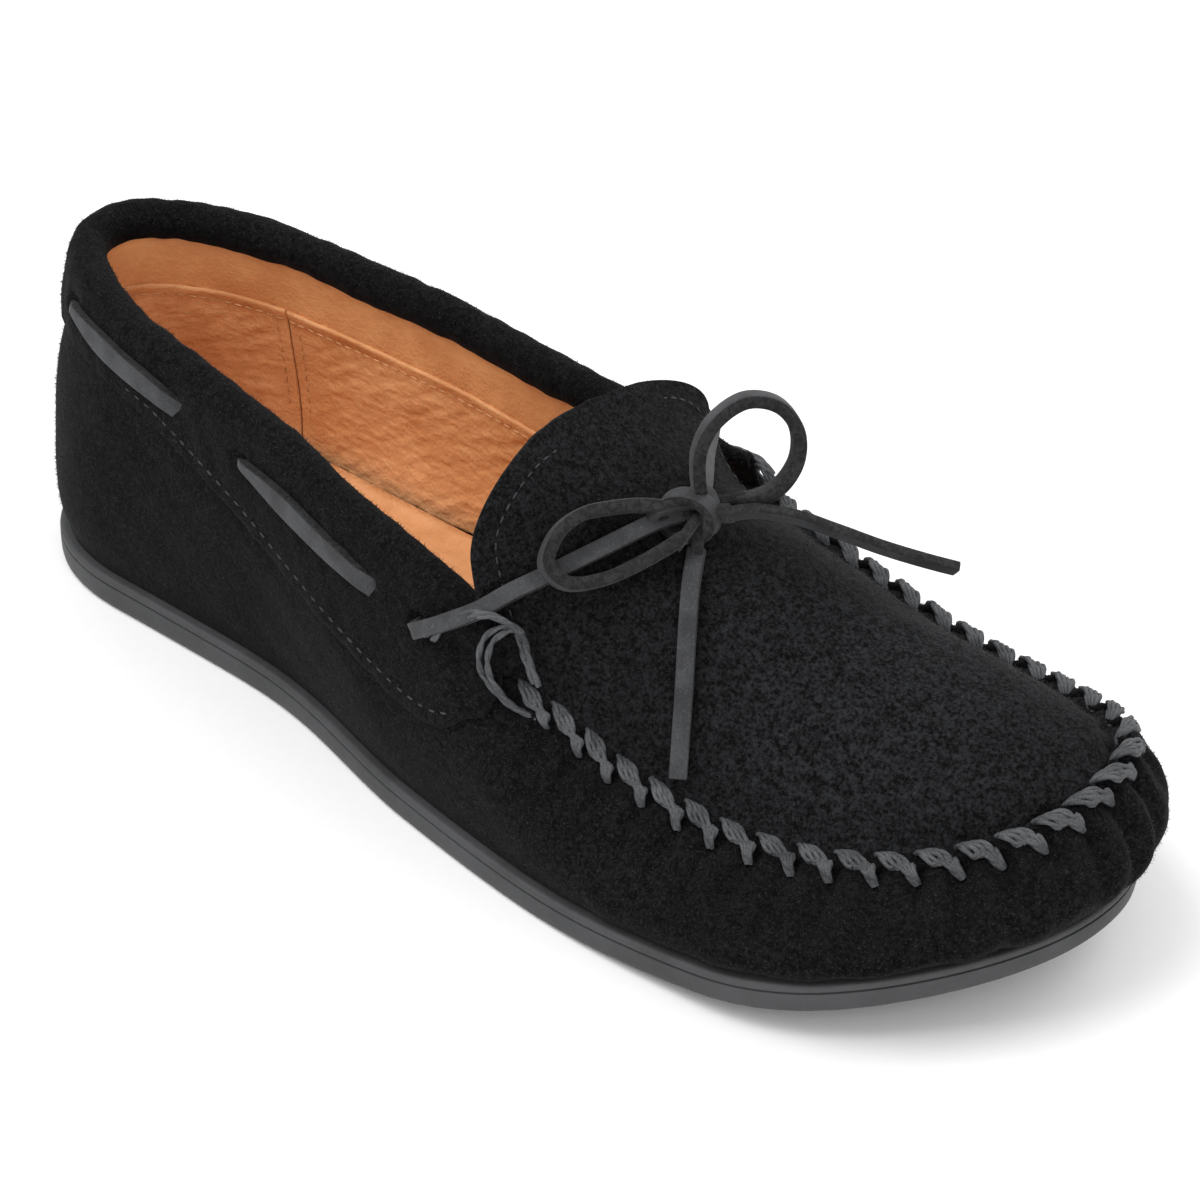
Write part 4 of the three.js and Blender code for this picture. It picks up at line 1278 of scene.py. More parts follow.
# ---- Sub-assemblies ----
@dataclass
class Studio:
    """Camera, soft lights and a pale floor."""

    azimuth: float = 41.6
    elevation: float = 34.0
    distance: float = 0.8988
    lens: float = 114.9
    aim: Triple = (-0.0296, 0.0492, -0.0034)
    floor_reach: float = 12.0

    def build(self) -> None:
        """Sets the scene round the shoe."""
        self._camera()
        self._floor()
        self._light("key", (-0.35, -0.55, 1.35), 0.95, 13.0)
        self._light("fill", (1.1, -0.9, 0.7), 1.3, 7.0)
        self._light("rim", (0.2, 1.3, 0.9), 1.2, 10.0)
        world = bpy.data.worlds.new("studio")
        world.use_nodes = True
        tree = Tree(world.node_tree)
        sky = tree.node("ShaderNodeBackground", {}, {"Color": (1.0, 1.0, 1.0, 1.0), "Strength": 0.85})
        tree.node("ShaderNodeOutputWorld", {}, {"Surface": sky})
        bpy.context.scene.world = world
        bpy.context.scene.view_settings.view_transform = "Standard"

    def _camera(self) -> None:
        """Places the camera by its angle, distance and aim."""
        a, e = math.radians(self.azimuth), math.radians(self.elevation)
        back = Vector((math.sin(a) * math.cos(e), -math.cos(a) * math.cos(e), math.sin(e)))
        data = bpy.data.cameras.new("camera")
        data.lens = self.lens
        camera = add_object("camera", data)
        camera.location = Vector(self.aim) + back * self.distance
        camera.rotation_euler = (-back).to_track_quat("-Z", "Y").to_euler()
        bpy.context.scene.camera = camera

    def _floor(self) -> None:
        """A wide disc of pale paper."""
        turns = np.linspace(0, TURN, 64, endpoint=False)
        rim = np.stack([np.cos(turns), np.sin(turns), 0 * turns], -1) * self.floor_reach
        mesh = bpy.data.meshes.new("floor")
        mesh.from_pydata(rim.tolist(), [], [list(range(len(rim)))])
        floor = add_object("floor", mesh)
        paint(floor, Paper("studio_paper", ""))

    @staticmethod
    def _light(name: str, place: Triple, size: float, power: float) -> None:
        """Adds a square soft light that faces the shoe.

        Args:
            name: its name.
            place: where it stands.
            size: length of its side.
            power: its watts.
        """
        data = bpy.data.lights.new(name, "AREA")
        data.size = size
        data.energy = power
        lamp = add_object(name, data)
        lamp.location = place
        lamp.rotation_euler = (-Vector(place)).to_track_quat("-Z", "Y").to_euler()


@dataclass
class SeamPath:
    """The whip-sewn seam: where each stitch crosses the joined edges of vamp and plug."""

    pitch: float = 8.3
    slant: float = 9.2
    angles: Array = field(init=False)
    travelled: Array = field(init=False)

    def __post_init__(self) -> None:
        """Measures the seam and sets the pitch to a whole number of stitches."""
        throat = LAST.angle_at(SIZES.plug_start)
        self.angles = np.linspace(throat + 0.02, TURN - throat - 0.02, 900)
        self.travelled = lengths(LAST.vamp_top(self.angles))
        self.count = int(self.travelled[-1] / self.pitch)
        self.pitch = self.travelled[-1] / self.count

    def place(self, angle: Array) -> Array:
        """Distance along the seam at an angle, extended past its ends.

        Args:
            angle: places round the loop.

        Returns:
            The distances.
        """
        inner = np.interp(angle, self.angles, self.travelled)
        ahead = np.maximum(angle - self.angles[-1], 0) - np.maximum(self.angles[0] - angle, 0)
        return inner + ahead * SIZES.length / 3

    def angle(self, place: Array) -> Array:
        """Angle at a distance along the seam, extended past its ends."""
        past = np.maximum(place - self.travelled[-1], 0) + np.minimum(place, 0)
        return np.interp(place, self.travelled, self.angles) + past * 3 / SIZES.length

    def pull(self, angle: Array, lead: float = 0.0) -> Array:
        """1 where a stitch pulls the leather in, 0 between stitches."""
        phase = (self.place(angle) - lead) / self.pitch - 0.5
        return (0.5 + 0.5 * np.cos(TURN * phase)) ** 1.6

    def stitches(self) -> Array:
        """Places of the stitches' middles."""
        return (np.arange(self.count) + 0.5) * self.pitch


SEAM = SeamPath()


@dataclass
class SoleUnit:
    """Rubber cup sole with its foam, board and footbed."""

    steps: int = 340
    groove_half: float = 1.2
    groove_deep: float = 2.4
    groove_inset: float = 9.0
    across: int = 26

    def build(self) -> None:
        """Makes the sole's pieces."""
        dress(self._outsole(), RUBBER, ["outsole"])
        z = SIZES
        clear = z.sole_rim + 0.5 + z.gap
        board = z.gap * 2 + z.suede
        footbed = z.feather_inset + z.suede + z.counter + z.lining + 2 * z.curved_gap + 4.2
        cushion = board + z.board + z.gap
        liner = cushion + z.cushion + z.gap
        dress(self._plate("midsole_foam_core", clear, lambda s: LAST.sole_lift(s) + z.sole_floor + z.gap,
                          lambda s: LAST.sole_top(s) - z.gap), FOAM, ["midsole_foam"])
        pad = dress(self._plate("sock_cushion_foam", footbed, lambda s: LAST.sole_top(s) + cushion,
                                lambda s: LAST.sole_top(s) + cushion + z.cushion), FOAM, ["sock_cushion"])
        dress(self._plate("footbed_leather", lambda s: mix(8.2, footbed, smooth(0.55, 0.75, s)),
                          lambda s: LAST.sole_top(s) + liner, lambda s: LAST.sole_top(s) + liner + z.lining,
                          swell=0.25, turn_up=1.6), TAN, ["sock_liner"])
        paint(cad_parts["insole_board"], BOARD)

    def _angles(self) -> Array:
        """Angles round the sole, mirrored, with one at each wall of each tread groove."""
        half = np.linspace(0, math.pi, self.steps)
        walls = [LAST.angle_at(s + side * (self.groove_half + slope) / SIZES.length)
                 for s in self._grooves() for side in (-1, 1) for slope in (-0.12, 0.12)]
        half = np.unique(np.concatenate([half, walls]))
        return np.concatenate([half, TURN - half[-2:0:-1]])

    @staticmethod
    def _grooves() -> Array:
        """Shares of the length where the tread grooves run across."""
        return np.concatenate([np.linspace(0.07, 0.27, 6), np.linspace(0.58, 0.9, 9)])

    @staticmethod
    def _sides(rings: Sequence[Array]) -> list[list[int]]:
        """Faces between neighbouring rings."""
        a = np.arange(len(rings) * len(rings[0])).reshape(len(rings), -1)
        b = np.roll(a, -1, 1)
        return np.stack([a[:-1], b[:-1], b[1:], a[1:]], -1).reshape(-1, 4).tolist()

    def _outsole(self) -> Piece:
        """Side wall with a lip, rim, pocket and grooved tread, as one closed skin."""
        angles = self._angles()
        lift, top = LAST.sole_lift, LAST.sole_top
        profile = [(1.5, lift, 0.0), (0.75, lift, 0.3), (0.3, lift, 0.95), (0.12, lift, 1.9),
                   (0.05, lift, 3.2), (0.05, top, -2.6), (0.1, top, -2.15), (0.55, top, -2.0),
                   (0.6, top, -1.75), (0.18, top, -1.6), (0.1, top, -1.2), (0.25, top, -0.5),
                   (0.7, top, -0.12), (1.3, top, 0.0),
                   (SIZES.sole_rim, top, 0.0), (SIZES.sole_rim + 0.5, lift, SIZES.sole_floor)]
        rings = [LAST.inset_sole(angles, inset, lambda s, b=base, u=up: b(s) + u)
                 for inset, base, up in profile]
        count = len(angles)
        points, faces = [np.concatenate(rings)], self._sides(rings)
        floor, strips = self._strips(rings[-1], (len(rings) - 1) * count, len(rings) * count, False)
        points.append(floor)
        faces += strips
        tread, strips = self._strips(rings[0], 0, len(rings) * count + len(floor), True)
        points.append(tread)
        faces += [face[::-1] for face in strips]
        made = make_piece("outsole_rubber", np.concatenate(points), faces)
        fix_winding(made)
        made.data.set_sharp_from_angle(angle=math.radians(50))
        return made

    def _strips(self, ring: Array, first: int, free: int, grooved: bool) -> tuple[Array, list[list[int]]]:
        """Rows of points that close a ring from side to side.

        Args:
            ring: the ring, symmetrical about its first point.
            first: number of the ring's first vertex.
            free: number that the first new vertex gets.
            grooved: whether the tread grooves are cut in.

        Returns:
            The new points and the faces.
        """
        count = len(ring)
        rows = count // 2
        w = np.linspace(0, 1, self.across)[1:-1]
        near, far = ring[1:rows], ring[:rows:-1][: rows - 1]
        inner = mix(near[:, None], far[:, None], w[None, :, None])
        floor = 0 if grooved else SIZES.sole_floor
        inner[..., 2] = LAST.sole_lift(inner[..., 0] / SIZES.length + 0.5) + floor
        if grooved:
            span = np.linalg.norm(far - near, axis=-1)[:, None]
            edge = np.minimum(w, 1 - w) * span
            x = inner[..., 0] / SIZES.length + 0.5
            reach = np.abs(x[..., None] - self._grooves()).min(-1) * SIZES.length
            cut = 1 - smooth(self.groove_half - 0.1, self.groove_half + 0.1, reach)
            inboard = smooth(self.groove_inset - 1, self.groove_inset + 1, edge)
            inner[..., 2] += self.groove_deep * cut * inboard
        columns = len(w)
        number = free + np.arange((rows - 1) * columns).reshape(rows - 1, columns)
        near_index = first + np.arange(1, rows)
        far_index = first + count - np.arange(1, rows)
        table = np.concatenate([near_index[:, None], number, far_index[:, None]], 1)
        quads = np.stack([table[:-1, :-1], table[1:, :-1], table[1:, 1:], table[:-1, 1:]], -1).reshape(-1, 4)
        faces = quads[:, ::-1].tolist()
        heel, toe = first, first + rows
        faces += [[heel, table[0, j], table[0, j + 1]][::-1] for j in range(columns + 1)]
        faces += [[toe, table[-1, j + 1], table[-1, j]][::-1] for j in range(columns + 1)]
        return inner.reshape(-1, 3), [[int(i) for i in face] for face in faces]

    def _plate(self, name: str, inset: float | Callable[[Array], Array], low: Callable[[Array], Array],
               high: Callable[[Array], Array], swell: float = 0.0, turn_up: float = 0.0) -> Piece:
        """A sheet in the sole's outline, with a rounded edge.

        Args:
            name: the piece's name.
            inset: distance inside the sole's edge, or a function of the share of the length.
            low: height of its underside.
            high: height of its top.
            swell: how uneven the top is.
            turn_up: how far its edge is turned up.

        Returns:
            The new object.
        """
        half = np.linspace(0, math.pi, 130)
        angles = np.concatenate([half, TURN - half[-2:0:-1]])
        scaled = [(0.3, low), (0.0, lambda s: mix(low(s), high(s), 0.5)), (0.35, high)]
        base = inset(LAST.share(angles)) if callable(inset) else inset
        rings = [LAST.inset_sole(angles, base + more, height) for more, height in scaled]
        for ring in rings:
            ring[:, 2] += turn_up
        count, faces, points = len(angles), self._sides(rings), [np.concatenate(rings)]
        free = len(rings) * count
        for ring, first, height, turned in ((rings[2], 2 * count, high, False), (rings[0], 0, low, True)):
            inner, strips = self._strips(ring, first, free, False)
            inner[:, 2] = height(inner[:, 0] / SIZES.length + 0.5)
            if not turned:
                inner[:, 2] += swell * ripple(inner, 22, 5)
            points.append(inner)
            faces += [face[::-1] for face in strips] if turned else strips
            free += len(inner)
        made = make_piece(name, np.concatenate(points), faces)
        fix_winding(made)
        return made


@dataclass
class Upper:
    """Suede vamp with its linings, and the padded collar."""

    steps: int = 880
    rows: int = 54
    lip: float = 3.0
    gather: float = 1.8
    cuff_reach: float = 0.603
    bead_reach: float = 0.55
    band_above: float = 7

    def build(self) -> None:
        """Makes the vamp, the linings, the collar and their stitching."""
        dress(self._vamp(), SUEDE, ["vamp"])
        cuff = dress(self._cuff(), CUFF_SUEDE, ["collar_cuff"])
        bead = dress(self._foam(), FOAM, ["collar_foam"])
        self._linings()
        paint(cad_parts["heel_counter"], BOARD)

    def _vamp(self) -> Piece:
        """The side leather, from its lasted margin to the lip at the plug seam."""
        angles = np.linspace(0, TURN, self.steps, endpoint=False)
        s = LAST.share(angles)
        front = smooth(0.585, 0.62, s)
        levels = np.linspace(0, 1, self.rows) ** 0.85
        face = LAST.wall(angles, levels)
        height = LAST.wall_height(angles)[:, None]
        below = (1 - levels) * height
        normals = grid_normals(face, True)
        shown = smooth(0.02, 0.12, levels) * mix(1, 1 - smooth(-2, 4, 12 - below), (1 - front)[:, None])
        swell = (0.34 * ripple(face, 46, 11) + 0.16 * ripple(face, 17, 12)) * shown
        face = face + normals * (swell + self._gathers(angles, below, front))[..., None]
        seam_line = np.minimum(angles, TURN - angles) * SIZES.heel_width / 2
        face = face - normals * (0.55 * np.exp(-((seam_line / 0.7) ** 2)))[:, None, None]
        margin = [(SIZES.feather_inset + SIZES.lasting_margin, 0.0), (SIZES.feather_inset + 4, 0.0),
                  (SIZES.feather_inset + 0.5, 0.05)]
        under = [LAST.inset_sole(angles, inset, lambda q, u=up: LAST.sole_top(q) + SIZES.gap + u)
                 for inset, up in margin]
        lip = self._lip(angles, face, front)
        dress(nap("vamp_nap", np.concatenate([face[:, 4:], lip], 1), True), NAP)
        grid = np.concatenate([np.stack(under, 1), face, lip], 1)
        return shell("vamp_suede", grid, SIZES.suede, wrap=True)

    def _gathers(self, angles: Array, below: Array, front: Array) -> Array:
        """Puckers under the seam: deep at each stitch hole, fading down the side.

        Args:
            angles: places round the loop.
            below: distance below the top edge, angles by levels.
            front: 1 along the plug seam, 0 behind it.

        Returns:
            Outward shift of the leather.
        """
        rng = np.random.default_rng(4)
        toe = smooth(0.74, 0.93, LAST.share(angles))
        place = SEAM.place(angles)
        number = np.clip((place / SEAM.pitch).astype(int), 0, SEAM.count - 1)
        depth = np.interp(place, SEAM.stitches(), rng.uniform(0.7, 1.25, SEAM.count))
        reach = np.interp(place, SEAM.stitches(), rng.uniform(4.5, 8.5, SEAM.count)) + 5 * toe
        pull = SEAM.pull(angles, 0.5 * SEAM.slant)[:, None]
        fade = np.exp(-((np.maximum(below - 2.5, 0) / reach[:, None]) ** 2))
        fold = (0.42 - pull) * fade * (depth * self.gather * front * (1 + 0.25 * (number % 2)))[:, None]
        wander = place[:, None] + 0.25 * below
        long_folds = np.sin(TURN * wander / 13.0 + 1.3 * np.sin(place / 21.0)[:, None])
        long_folds = long_folds * np.exp(-below / 17.0)
        return fold + 0.8 * long_folds * (front * (0.35 + 0.65 * toe))[:, None] * smooth(1.0, 6.0, below)

    def _lip(self, angles: Array, face: Array, front: Array) -> Array:
        """Raw edge that stands up along the seam.

        Args:
            angles: places round the loop.
            face: the side's outer face.
            front: 1 along the plug seam, 0 behind it.

        Returns:
            More columns for the top of the face.
        """
        top = face[:, -1]
        rise = unit(face[:, -1] - face[:, -4])
        out = LAST.outward(LAST.vamp_top, angles)
        stand = unit(0.35 * rise + 0.65 * UP)
        puff = (1 - SEAM.pull(angles)) * front
        sewn = smooth(0.574, 0.6, LAST.share(angles))
        tall = (0.35 + (self.lip * (0.36 + 0.64 * puff) - 0.35) * sewn)[:, None]
        columns = []
        for part, lean in ((0.3, 0.06), (0.6, 0.04), (0.85, -0.12), (1.0, -0.38)):
            bulge = (0.95 * puff - 0.2 * front)[:, None] * math.sin(math.pi * min(part, 0.9))
            columns.append(top + stand * tall * part + out * (tall * lean + bulge))
        return np.stack(columns, 1)

    def _cuff(self) -> Piece:
        """Collar leather: a leaf over the vamp, rolled over the foam."""
        end = LAST.angle_at(self.cuff_reach)
        angles = np.linspace(-end, end, 620)
        s = LAST.share(angles)
        corner = 1 - rounded((end - np.abs(angles)) / end, 0.055, 2.2)
        lap = LAST.lap_depth(s) * (1 - 0.75 * corner)
        low = 1 - lap / LAST.wall_height(angles)
        part = np.linspace(0, 1, 12)
        above = np.tile(np.linspace(1.06, 1.9, len(part)), (len(s), 1))
        levels = np.concatenate([mix(low[:, None], 1, part[None]), above], 1)
        tight = SIZES.cuff + 0.28
        loose = SIZES.cuff + SIZES.curved_gap
        depth = -mix(tight, loose, np.clip(np.linspace(0, 1.6, levels.shape[1]), 0, 1))
        leaf = LAST.inside(angles, levels, depth)
        tip = smooth(0.93, 1.0, np.abs(angles) / end)
        roll = LAST.roll_point(angles, LAST.roll_radius(s) * (1 - 0.55 * tip), np.linspace(12, 228, 30))
        grid = relax(np.concatenate([leaf, roll], 1), 14)
        normals = grid_normals(grid, False)
        puckers = 0.13 * ripple(grid, 7.5, 21, (1.6, 1.0, 0.4)) + 0.18 * ripple(grid, 26, 22)
        shift = puckers - Lacing.groove(grid, angles)
        face = grid + normals * shift[..., None]
        dress(nap("collar_nap", face[:, :-8]), NAP)
        return shell("collar_cuff_suede", face, SIZES.cuff)

    def _foam(self) -> Piece:
        """Foam bead inside the roll."""
        end = LAST.angle_at(self.bead_reach)
        angles = np.linspace(-end, end, 220)
        radius = LAST.roll_radius(LAST.share(angles)) - SIZES.cuff - SIZES.gap - 0.25
        rings = LAST.roll_point(angles, radius, np.linspace(0, 360, 17)[1:])
        return loft("collar_foam_bead", rings + 0.06 * ripple(rings, 4, 31)[..., None])

    def _lining_depth(self, angles: Array) -> Array:
        """How far the lining's outer face lies behind the vamp's."""
        z = SIZES
        behind = z.suede + z.curved_gap
        return behind + (z.counter + z.curved_gap) * (1 - smooth(0.52, 0.62, LAST.share(angles)))

    @staticmethod
    def _foot_level(height: Array) -> Array:
        """Level just above the board, where the linings end."""
        z = SIZES
        return (2 * z.gap + z.suede + z.board + z.gap) / height + 0.03

    def _seam_level(self, height: Any) -> Any:
        """Level of the seam between the collar band and the panels below it."""
        return 1 - (SIZES.band - self.band_above) / height

    def _linings(self) -> None:
        """Heel, quarter, collar and toe linings, with their stitched seams."""
        z = SIZES
        end = float(LAST.angle_at(z.lining_end))
        slack = 0.006
        parts = [("heel_lining_leather", "heel_lining", -z.heel_seam, z.heel_seam, 130),
                 ("quarter_lining_outer_leather", "quarter_lining_outer", z.heel_seam, end, 150),
                 ("quarter_lining_inner_leather", "quarter_lining_inner", -end, -z.heel_seam, 150)]
        for name, node, start, stop, count in parts:
            angles = np.linspace(start + slack, stop - slack, count)
            dress(self._lining(name, angles), TAN, [node])
        dress(self._band(np.linspace(-end, end, 420)), TAN_BAND, ["collar_lining"])
        toe = np.linspace(end + 0.012, TURN - end - 0.012, 200)
        foot = self._foot_level(LAST.wall_height(toe))
        levels = mix(foot[:, None], 0.93, np.linspace(0, 1, 24)[None])
        cloth = LAST.inside(toe, levels, z.suede + z.curved_gap)
        dress(shell("vamp_lining_cloth", cloth, z.backing), CLOTH, ["vamp_lining"])
        self._lining_stitches(end)

    def _lining(self, name: str, angles: Array) -> Piece:
        """A creased lining panel below the collar band, which faces the foot.

        Args:
            name: the piece's name.
            angles: places round the loop.

        Returns:
            The new object.
        """
        z = SIZES
        height = LAST.wall_height(angles)
        foot, top = self._foot_level(height), self._seam_level(height) + 0.9 / height
        levels = mix(foot[:, None], top[:, None], np.linspace(0, 1, 64)[None])
        back = self._lining_depth(angles)[:, None] + z.lining
        edge = smooth(4.0, 0.0, (top[:, None] - levels) * height[:, None])
        ends = np.minimum(angles - angles[0], angles[-1] - angles) * z.length / 6
        held = smooth(0, 5, ends)[:, None]
        face = LAST.inside(angles, levels, back + 0.75 * edge)
        inward = unit(face - LAST.inside(angles, levels, back + 0.75 * edge - 0.5))
        creases = (0.14 * ripple(face, 5.5, 41, (0.4, 0.4, 1.0))
                   + 0.11 * ripple(face, 2.9, 42, (0.5, 0.5, 1.0)))
        folds = 0.3 * ripple(face, 26, 43, (0.8, 0.8, 1.0))
        shift = (creases + folds) * held * (1 - 0.7 * edge)
        grid = (face + inward * shift[..., None])[::-1]
        return shell(name, grid, z.lining)

    def _band(self, angles: Array) -> Piece:
        """Smooth band of leather between the collar roll and the creased panels.

        Args:
            angles: places round the loop.

        Returns:
            The new object.
        """
        z = SIZES
        height, tuck = LAST.wall_height(angles), LAST.tuck_height(angles)
        low = self._seam_level(height) - 1.4 / height
        high = 2 - (z.roll - 1.3) / tuck
        part = np.linspace(0, 1, 14)[None]
        levels = np.concatenate([mix(low[:, None], 1, part), mix(1.04, high[:, None], part)], 1)
        depth = self._lining_depth(angles)[:, None] + z.lining
        low_edge = smooth(3.0, 0.0, (levels - low[:, None]) * height[:, None])
        face = relax(LAST.inside(angles, levels, depth - 0.35 * low_edge), 6)
        swell = 0.12 * ripple(face, 6.0, 51, (1.0, 1.0, 0.5)) + 0.1 * ripple(face, 19, 52)
        normals = -grid_normals(face, False)
        return shell("collar_band_leather", (face + normals * swell[..., None])[::-1], z.lining)

    def _lining_stitches(self, end: float) -> None:
        """Stitches along the band's seam and beside the upright seams at the heel.

        Args:
            end: angle where the band ends.
        """
        z = SIZES
        rows = []
        for start, stop in ((-end + 0.05, -z.heel_seam - 0.02), (-z.heel_seam + 0.02, z.heel_seam - 0.02),
                            (z.heel_seam + 0.02, end - 0.05)):
            angles = np.linspace(start, stop, 160)
            height = LAST.wall_height(angles)
            level = (self._seam_level(height) - 1.6 / height)[:, None]
            depth = (self._lining_depth(angles) + z.lining + 0.62)[:, None]
            rows.append(LAST.inside(angles, level, depth)[:, 0])
        for hand in (-1, 1):
            for step in (-1, 1):
                angles = np.array([hand * z.heel_seam + step * 0.035])
                height = LAST.wall_height(angles)[0]
                levels = np.linspace(0.35, self._seam_level(height) - 0.05, 60)[None]
                depth = self._lining_depth(angles)[:, None] + z.lining + 0.12
                rows.append(LAST.inside(angles, levels, depth)[0])
        laid = MachineStitches("tan_stitch_rows", TAN_THREAD).grow("lining_stitches", rows, Thickness=0.00042)
        dress(laid, TAN_THREAD)


@dataclass
class Lacing:
    """Flat thong laced in and out round the collar."""

    low_lift: float = 2.8
    shown_lift: float = 5.4
    ramp: float = 0.03
    width: float = 4.8
    crossing_width: float = 3.7
    crossing_thick: float = 2.2

    SHOWN = ((0.055, 0.215), (0.3, 0.475))
    LAST_SLIT = 0.525
    GROOVE = 1.0

    @classmethod
    def shown(cls, s: Array, ramp: float = 0.03) -> Array:
        """1 where the thong shows outside the collar, 0 where it runs inside.

        Args:
            s: shares of the length.
            ramp: how long it takes from one to the other.

        Returns:
            The value at each share.
        """
        most = np.zeros_like(s)
        for start, stop in (*cls.SHOWN, (cls.LAST_SLIT, 2.0)):
            into = smooth(start - ramp / 2, start + ramp / 2, s)
            most = np.maximum(most, into * (1 - smooth(stop - ramp / 2, stop + ramp / 2, s)))
        return most

    @classmethod
    def groove(cls, grid: Array, angles: Array) -> Array:
        """Dent that the thong presses into the collar, deepest at its slits.

        Args:
            grid: the collar's face.
            angles: the grid's places round the loop.

        Returns:
            How far the collar is pressed in.
        """
        s = LAST.share(angles)
        level = 1 + cls.shown_lift / LAST.tuck_height(angles)
        middle = LAST.inside(angles, level[:, None], -SIZES.cuff - SIZES.curved_gap)
        away = np.linalg.norm(grid - middle, axis=-1)
        dent = cls.GROOVE * cls.shown(s, 0.02)[:, None] * np.exp(-((away / 2.7) ** 2))
        step = np.linalg.norm(np.gradient(middle[:, 0], axis=0), axis=-1)
        travelled = np.cumsum(step)
        for slit in [*[v for pair in cls.SHOWN for v in pair], cls.LAST_SLIT]:
            for hand in (-1, 1):
                centre = np.interp(hand * LAST.angle_at(slit), angles, travelled)
                near = np.exp(-(((travelled - centre) / 2.3) ** 2))[:, None] * np.exp(-((away / 2.1) ** 2))
                lips = np.exp(-(((travelled - centre) / 4.5) ** 2))[:, None] * np.exp(-((away / 3.6) ** 2))
                dent = dent + 1.5 * near - 0.5 * lips
        return dent

    def build(self) -> None:
        """Makes the thong round the collar and its crossings to the knot, as one piece."""
        end = float(LAST.angle_at(self.LAST_SLIT - self.ramp))
        angles = np.linspace(-end, end, 560)
        s = LAST.share(angles)
        out = self.shown(s)
        level = 1 + mix(self.low_lift, self.shown_lift, out) / LAST.tuck_height(angles)
        hidden = SIZES.gap + SIZES.lace_thick / 2
        outside = -(SIZES.curved_gap + SIZES.cuff + SIZES.lace_thick / 2 - 0.5)
        depth = mix(hidden, outside, out)[:, None]
        line = LAST.inside(angles, level[:, None], depth)[:, 0]
        above = LAST.inside(angles, (level + 1.2 / LAST.tuck_height(angles))[:, None], depth)[:, 0]
        width = self.width * self._taper(s)
        parts = [thong("collar_thong", line, above - line, width, SIZES.lace_thick)]
        for hand in (-1, 1):
            over = Crossing(hand)
            parts.append(thong("crossing_thong", over.path(), over.across, self.crossing_width,
                               self.crossing_thick, over.facing))
        dress(join(parts, "collar_thong"), THONG, ["lace"])

    def _taper(self, s: Array) -> Array:
        """Width of the thong as a share: narrow where a stretch comes out at the back, full ahead.

        Args:
            s: shares of the length.

        Returns:
            The width's share at each.
        """
        share = np.ones_like(s)
        for start, stop in self.SHOWN:
            inside = (s > start - 0.02) & (s < stop + 0.02)
            grown = 0.3 + 0.75 * smooth(start - 0.01, start + 0.075, s) - 0.12 * smooth(stop - 0.05, stop, s)
            share = np.where(inside, grown, share)
        return share


@dataclass
class Crossing:
    """The thong from its last slit over the end of the collar to the knot."""

    hand: int

    OUTER_ROUTE = ((-36.5, -43.2, -22.2), (-35.5, -46.5, -21.4), (-30.0, -47.1, -17.7), (-24.5, -46.4, -13.9),
                   (-19.7, -43.6, -10.7), (-16.7, -38.2, -8.1), (-13.3, -31.5, -5.9), (-8.5, -19.5, -2.9),
                   (-3.4, -6.4, 0.0), (-1.6, -2.0, 0.0))

    @property
    def across(self) -> Array:
        """Direction across the thong's width."""
        return np.array([-0.70, 0.25 * self.hand, 0.65])

    @property
    def facing(self) -> Array:
        """Where the thong's smooth side faces."""
        return np.array([0.6, -0.6 * self.hand, 0.5])

    def path(self) -> Array:
        """Middle line, from behind the slit to the knot."""
        z = SIZES
        knot = np.array([z.knot_x, 0, z.instep + z.knot_lift])
        if self.hand > 0:
            return through(knot + np.array(self.OUTER_ROUTE), 0.8)
        slit = np.array([self.hand * float(LAST.angle_at(Lacing.LAST_SLIT + 0.004))])
        level = 1 + 5.6 / LAST.tuck_height(slit)
        points = [LAST.inside(slit, level[:, None], np.array([[depth]]))[0, 0] for depth in (2.6, -1.6)]
        for share, degrees, lift in ((0.548, 30, 1.9), (0.565, 68, 2.2)):
            angle = np.array([self.hand * float(LAST.angle_at(share))])
            clear = float(LAST.roll_radius(share)) + z.lace_thick / 2 + lift - 1.4
            points.append(LAST.roll_point(angle, [clear], np.array([float(degrees)]))[0, 0])
        beside = knot + np.array([-3.4, -6.4 * self.hand, 0.2])
        points += [mix(points[-1], beside, 0.5) + UP * 0.6, beside,
                   knot + np.array([-1.6, -2.0 * self.hand, 0.0])]
        return through(points, 0.8)


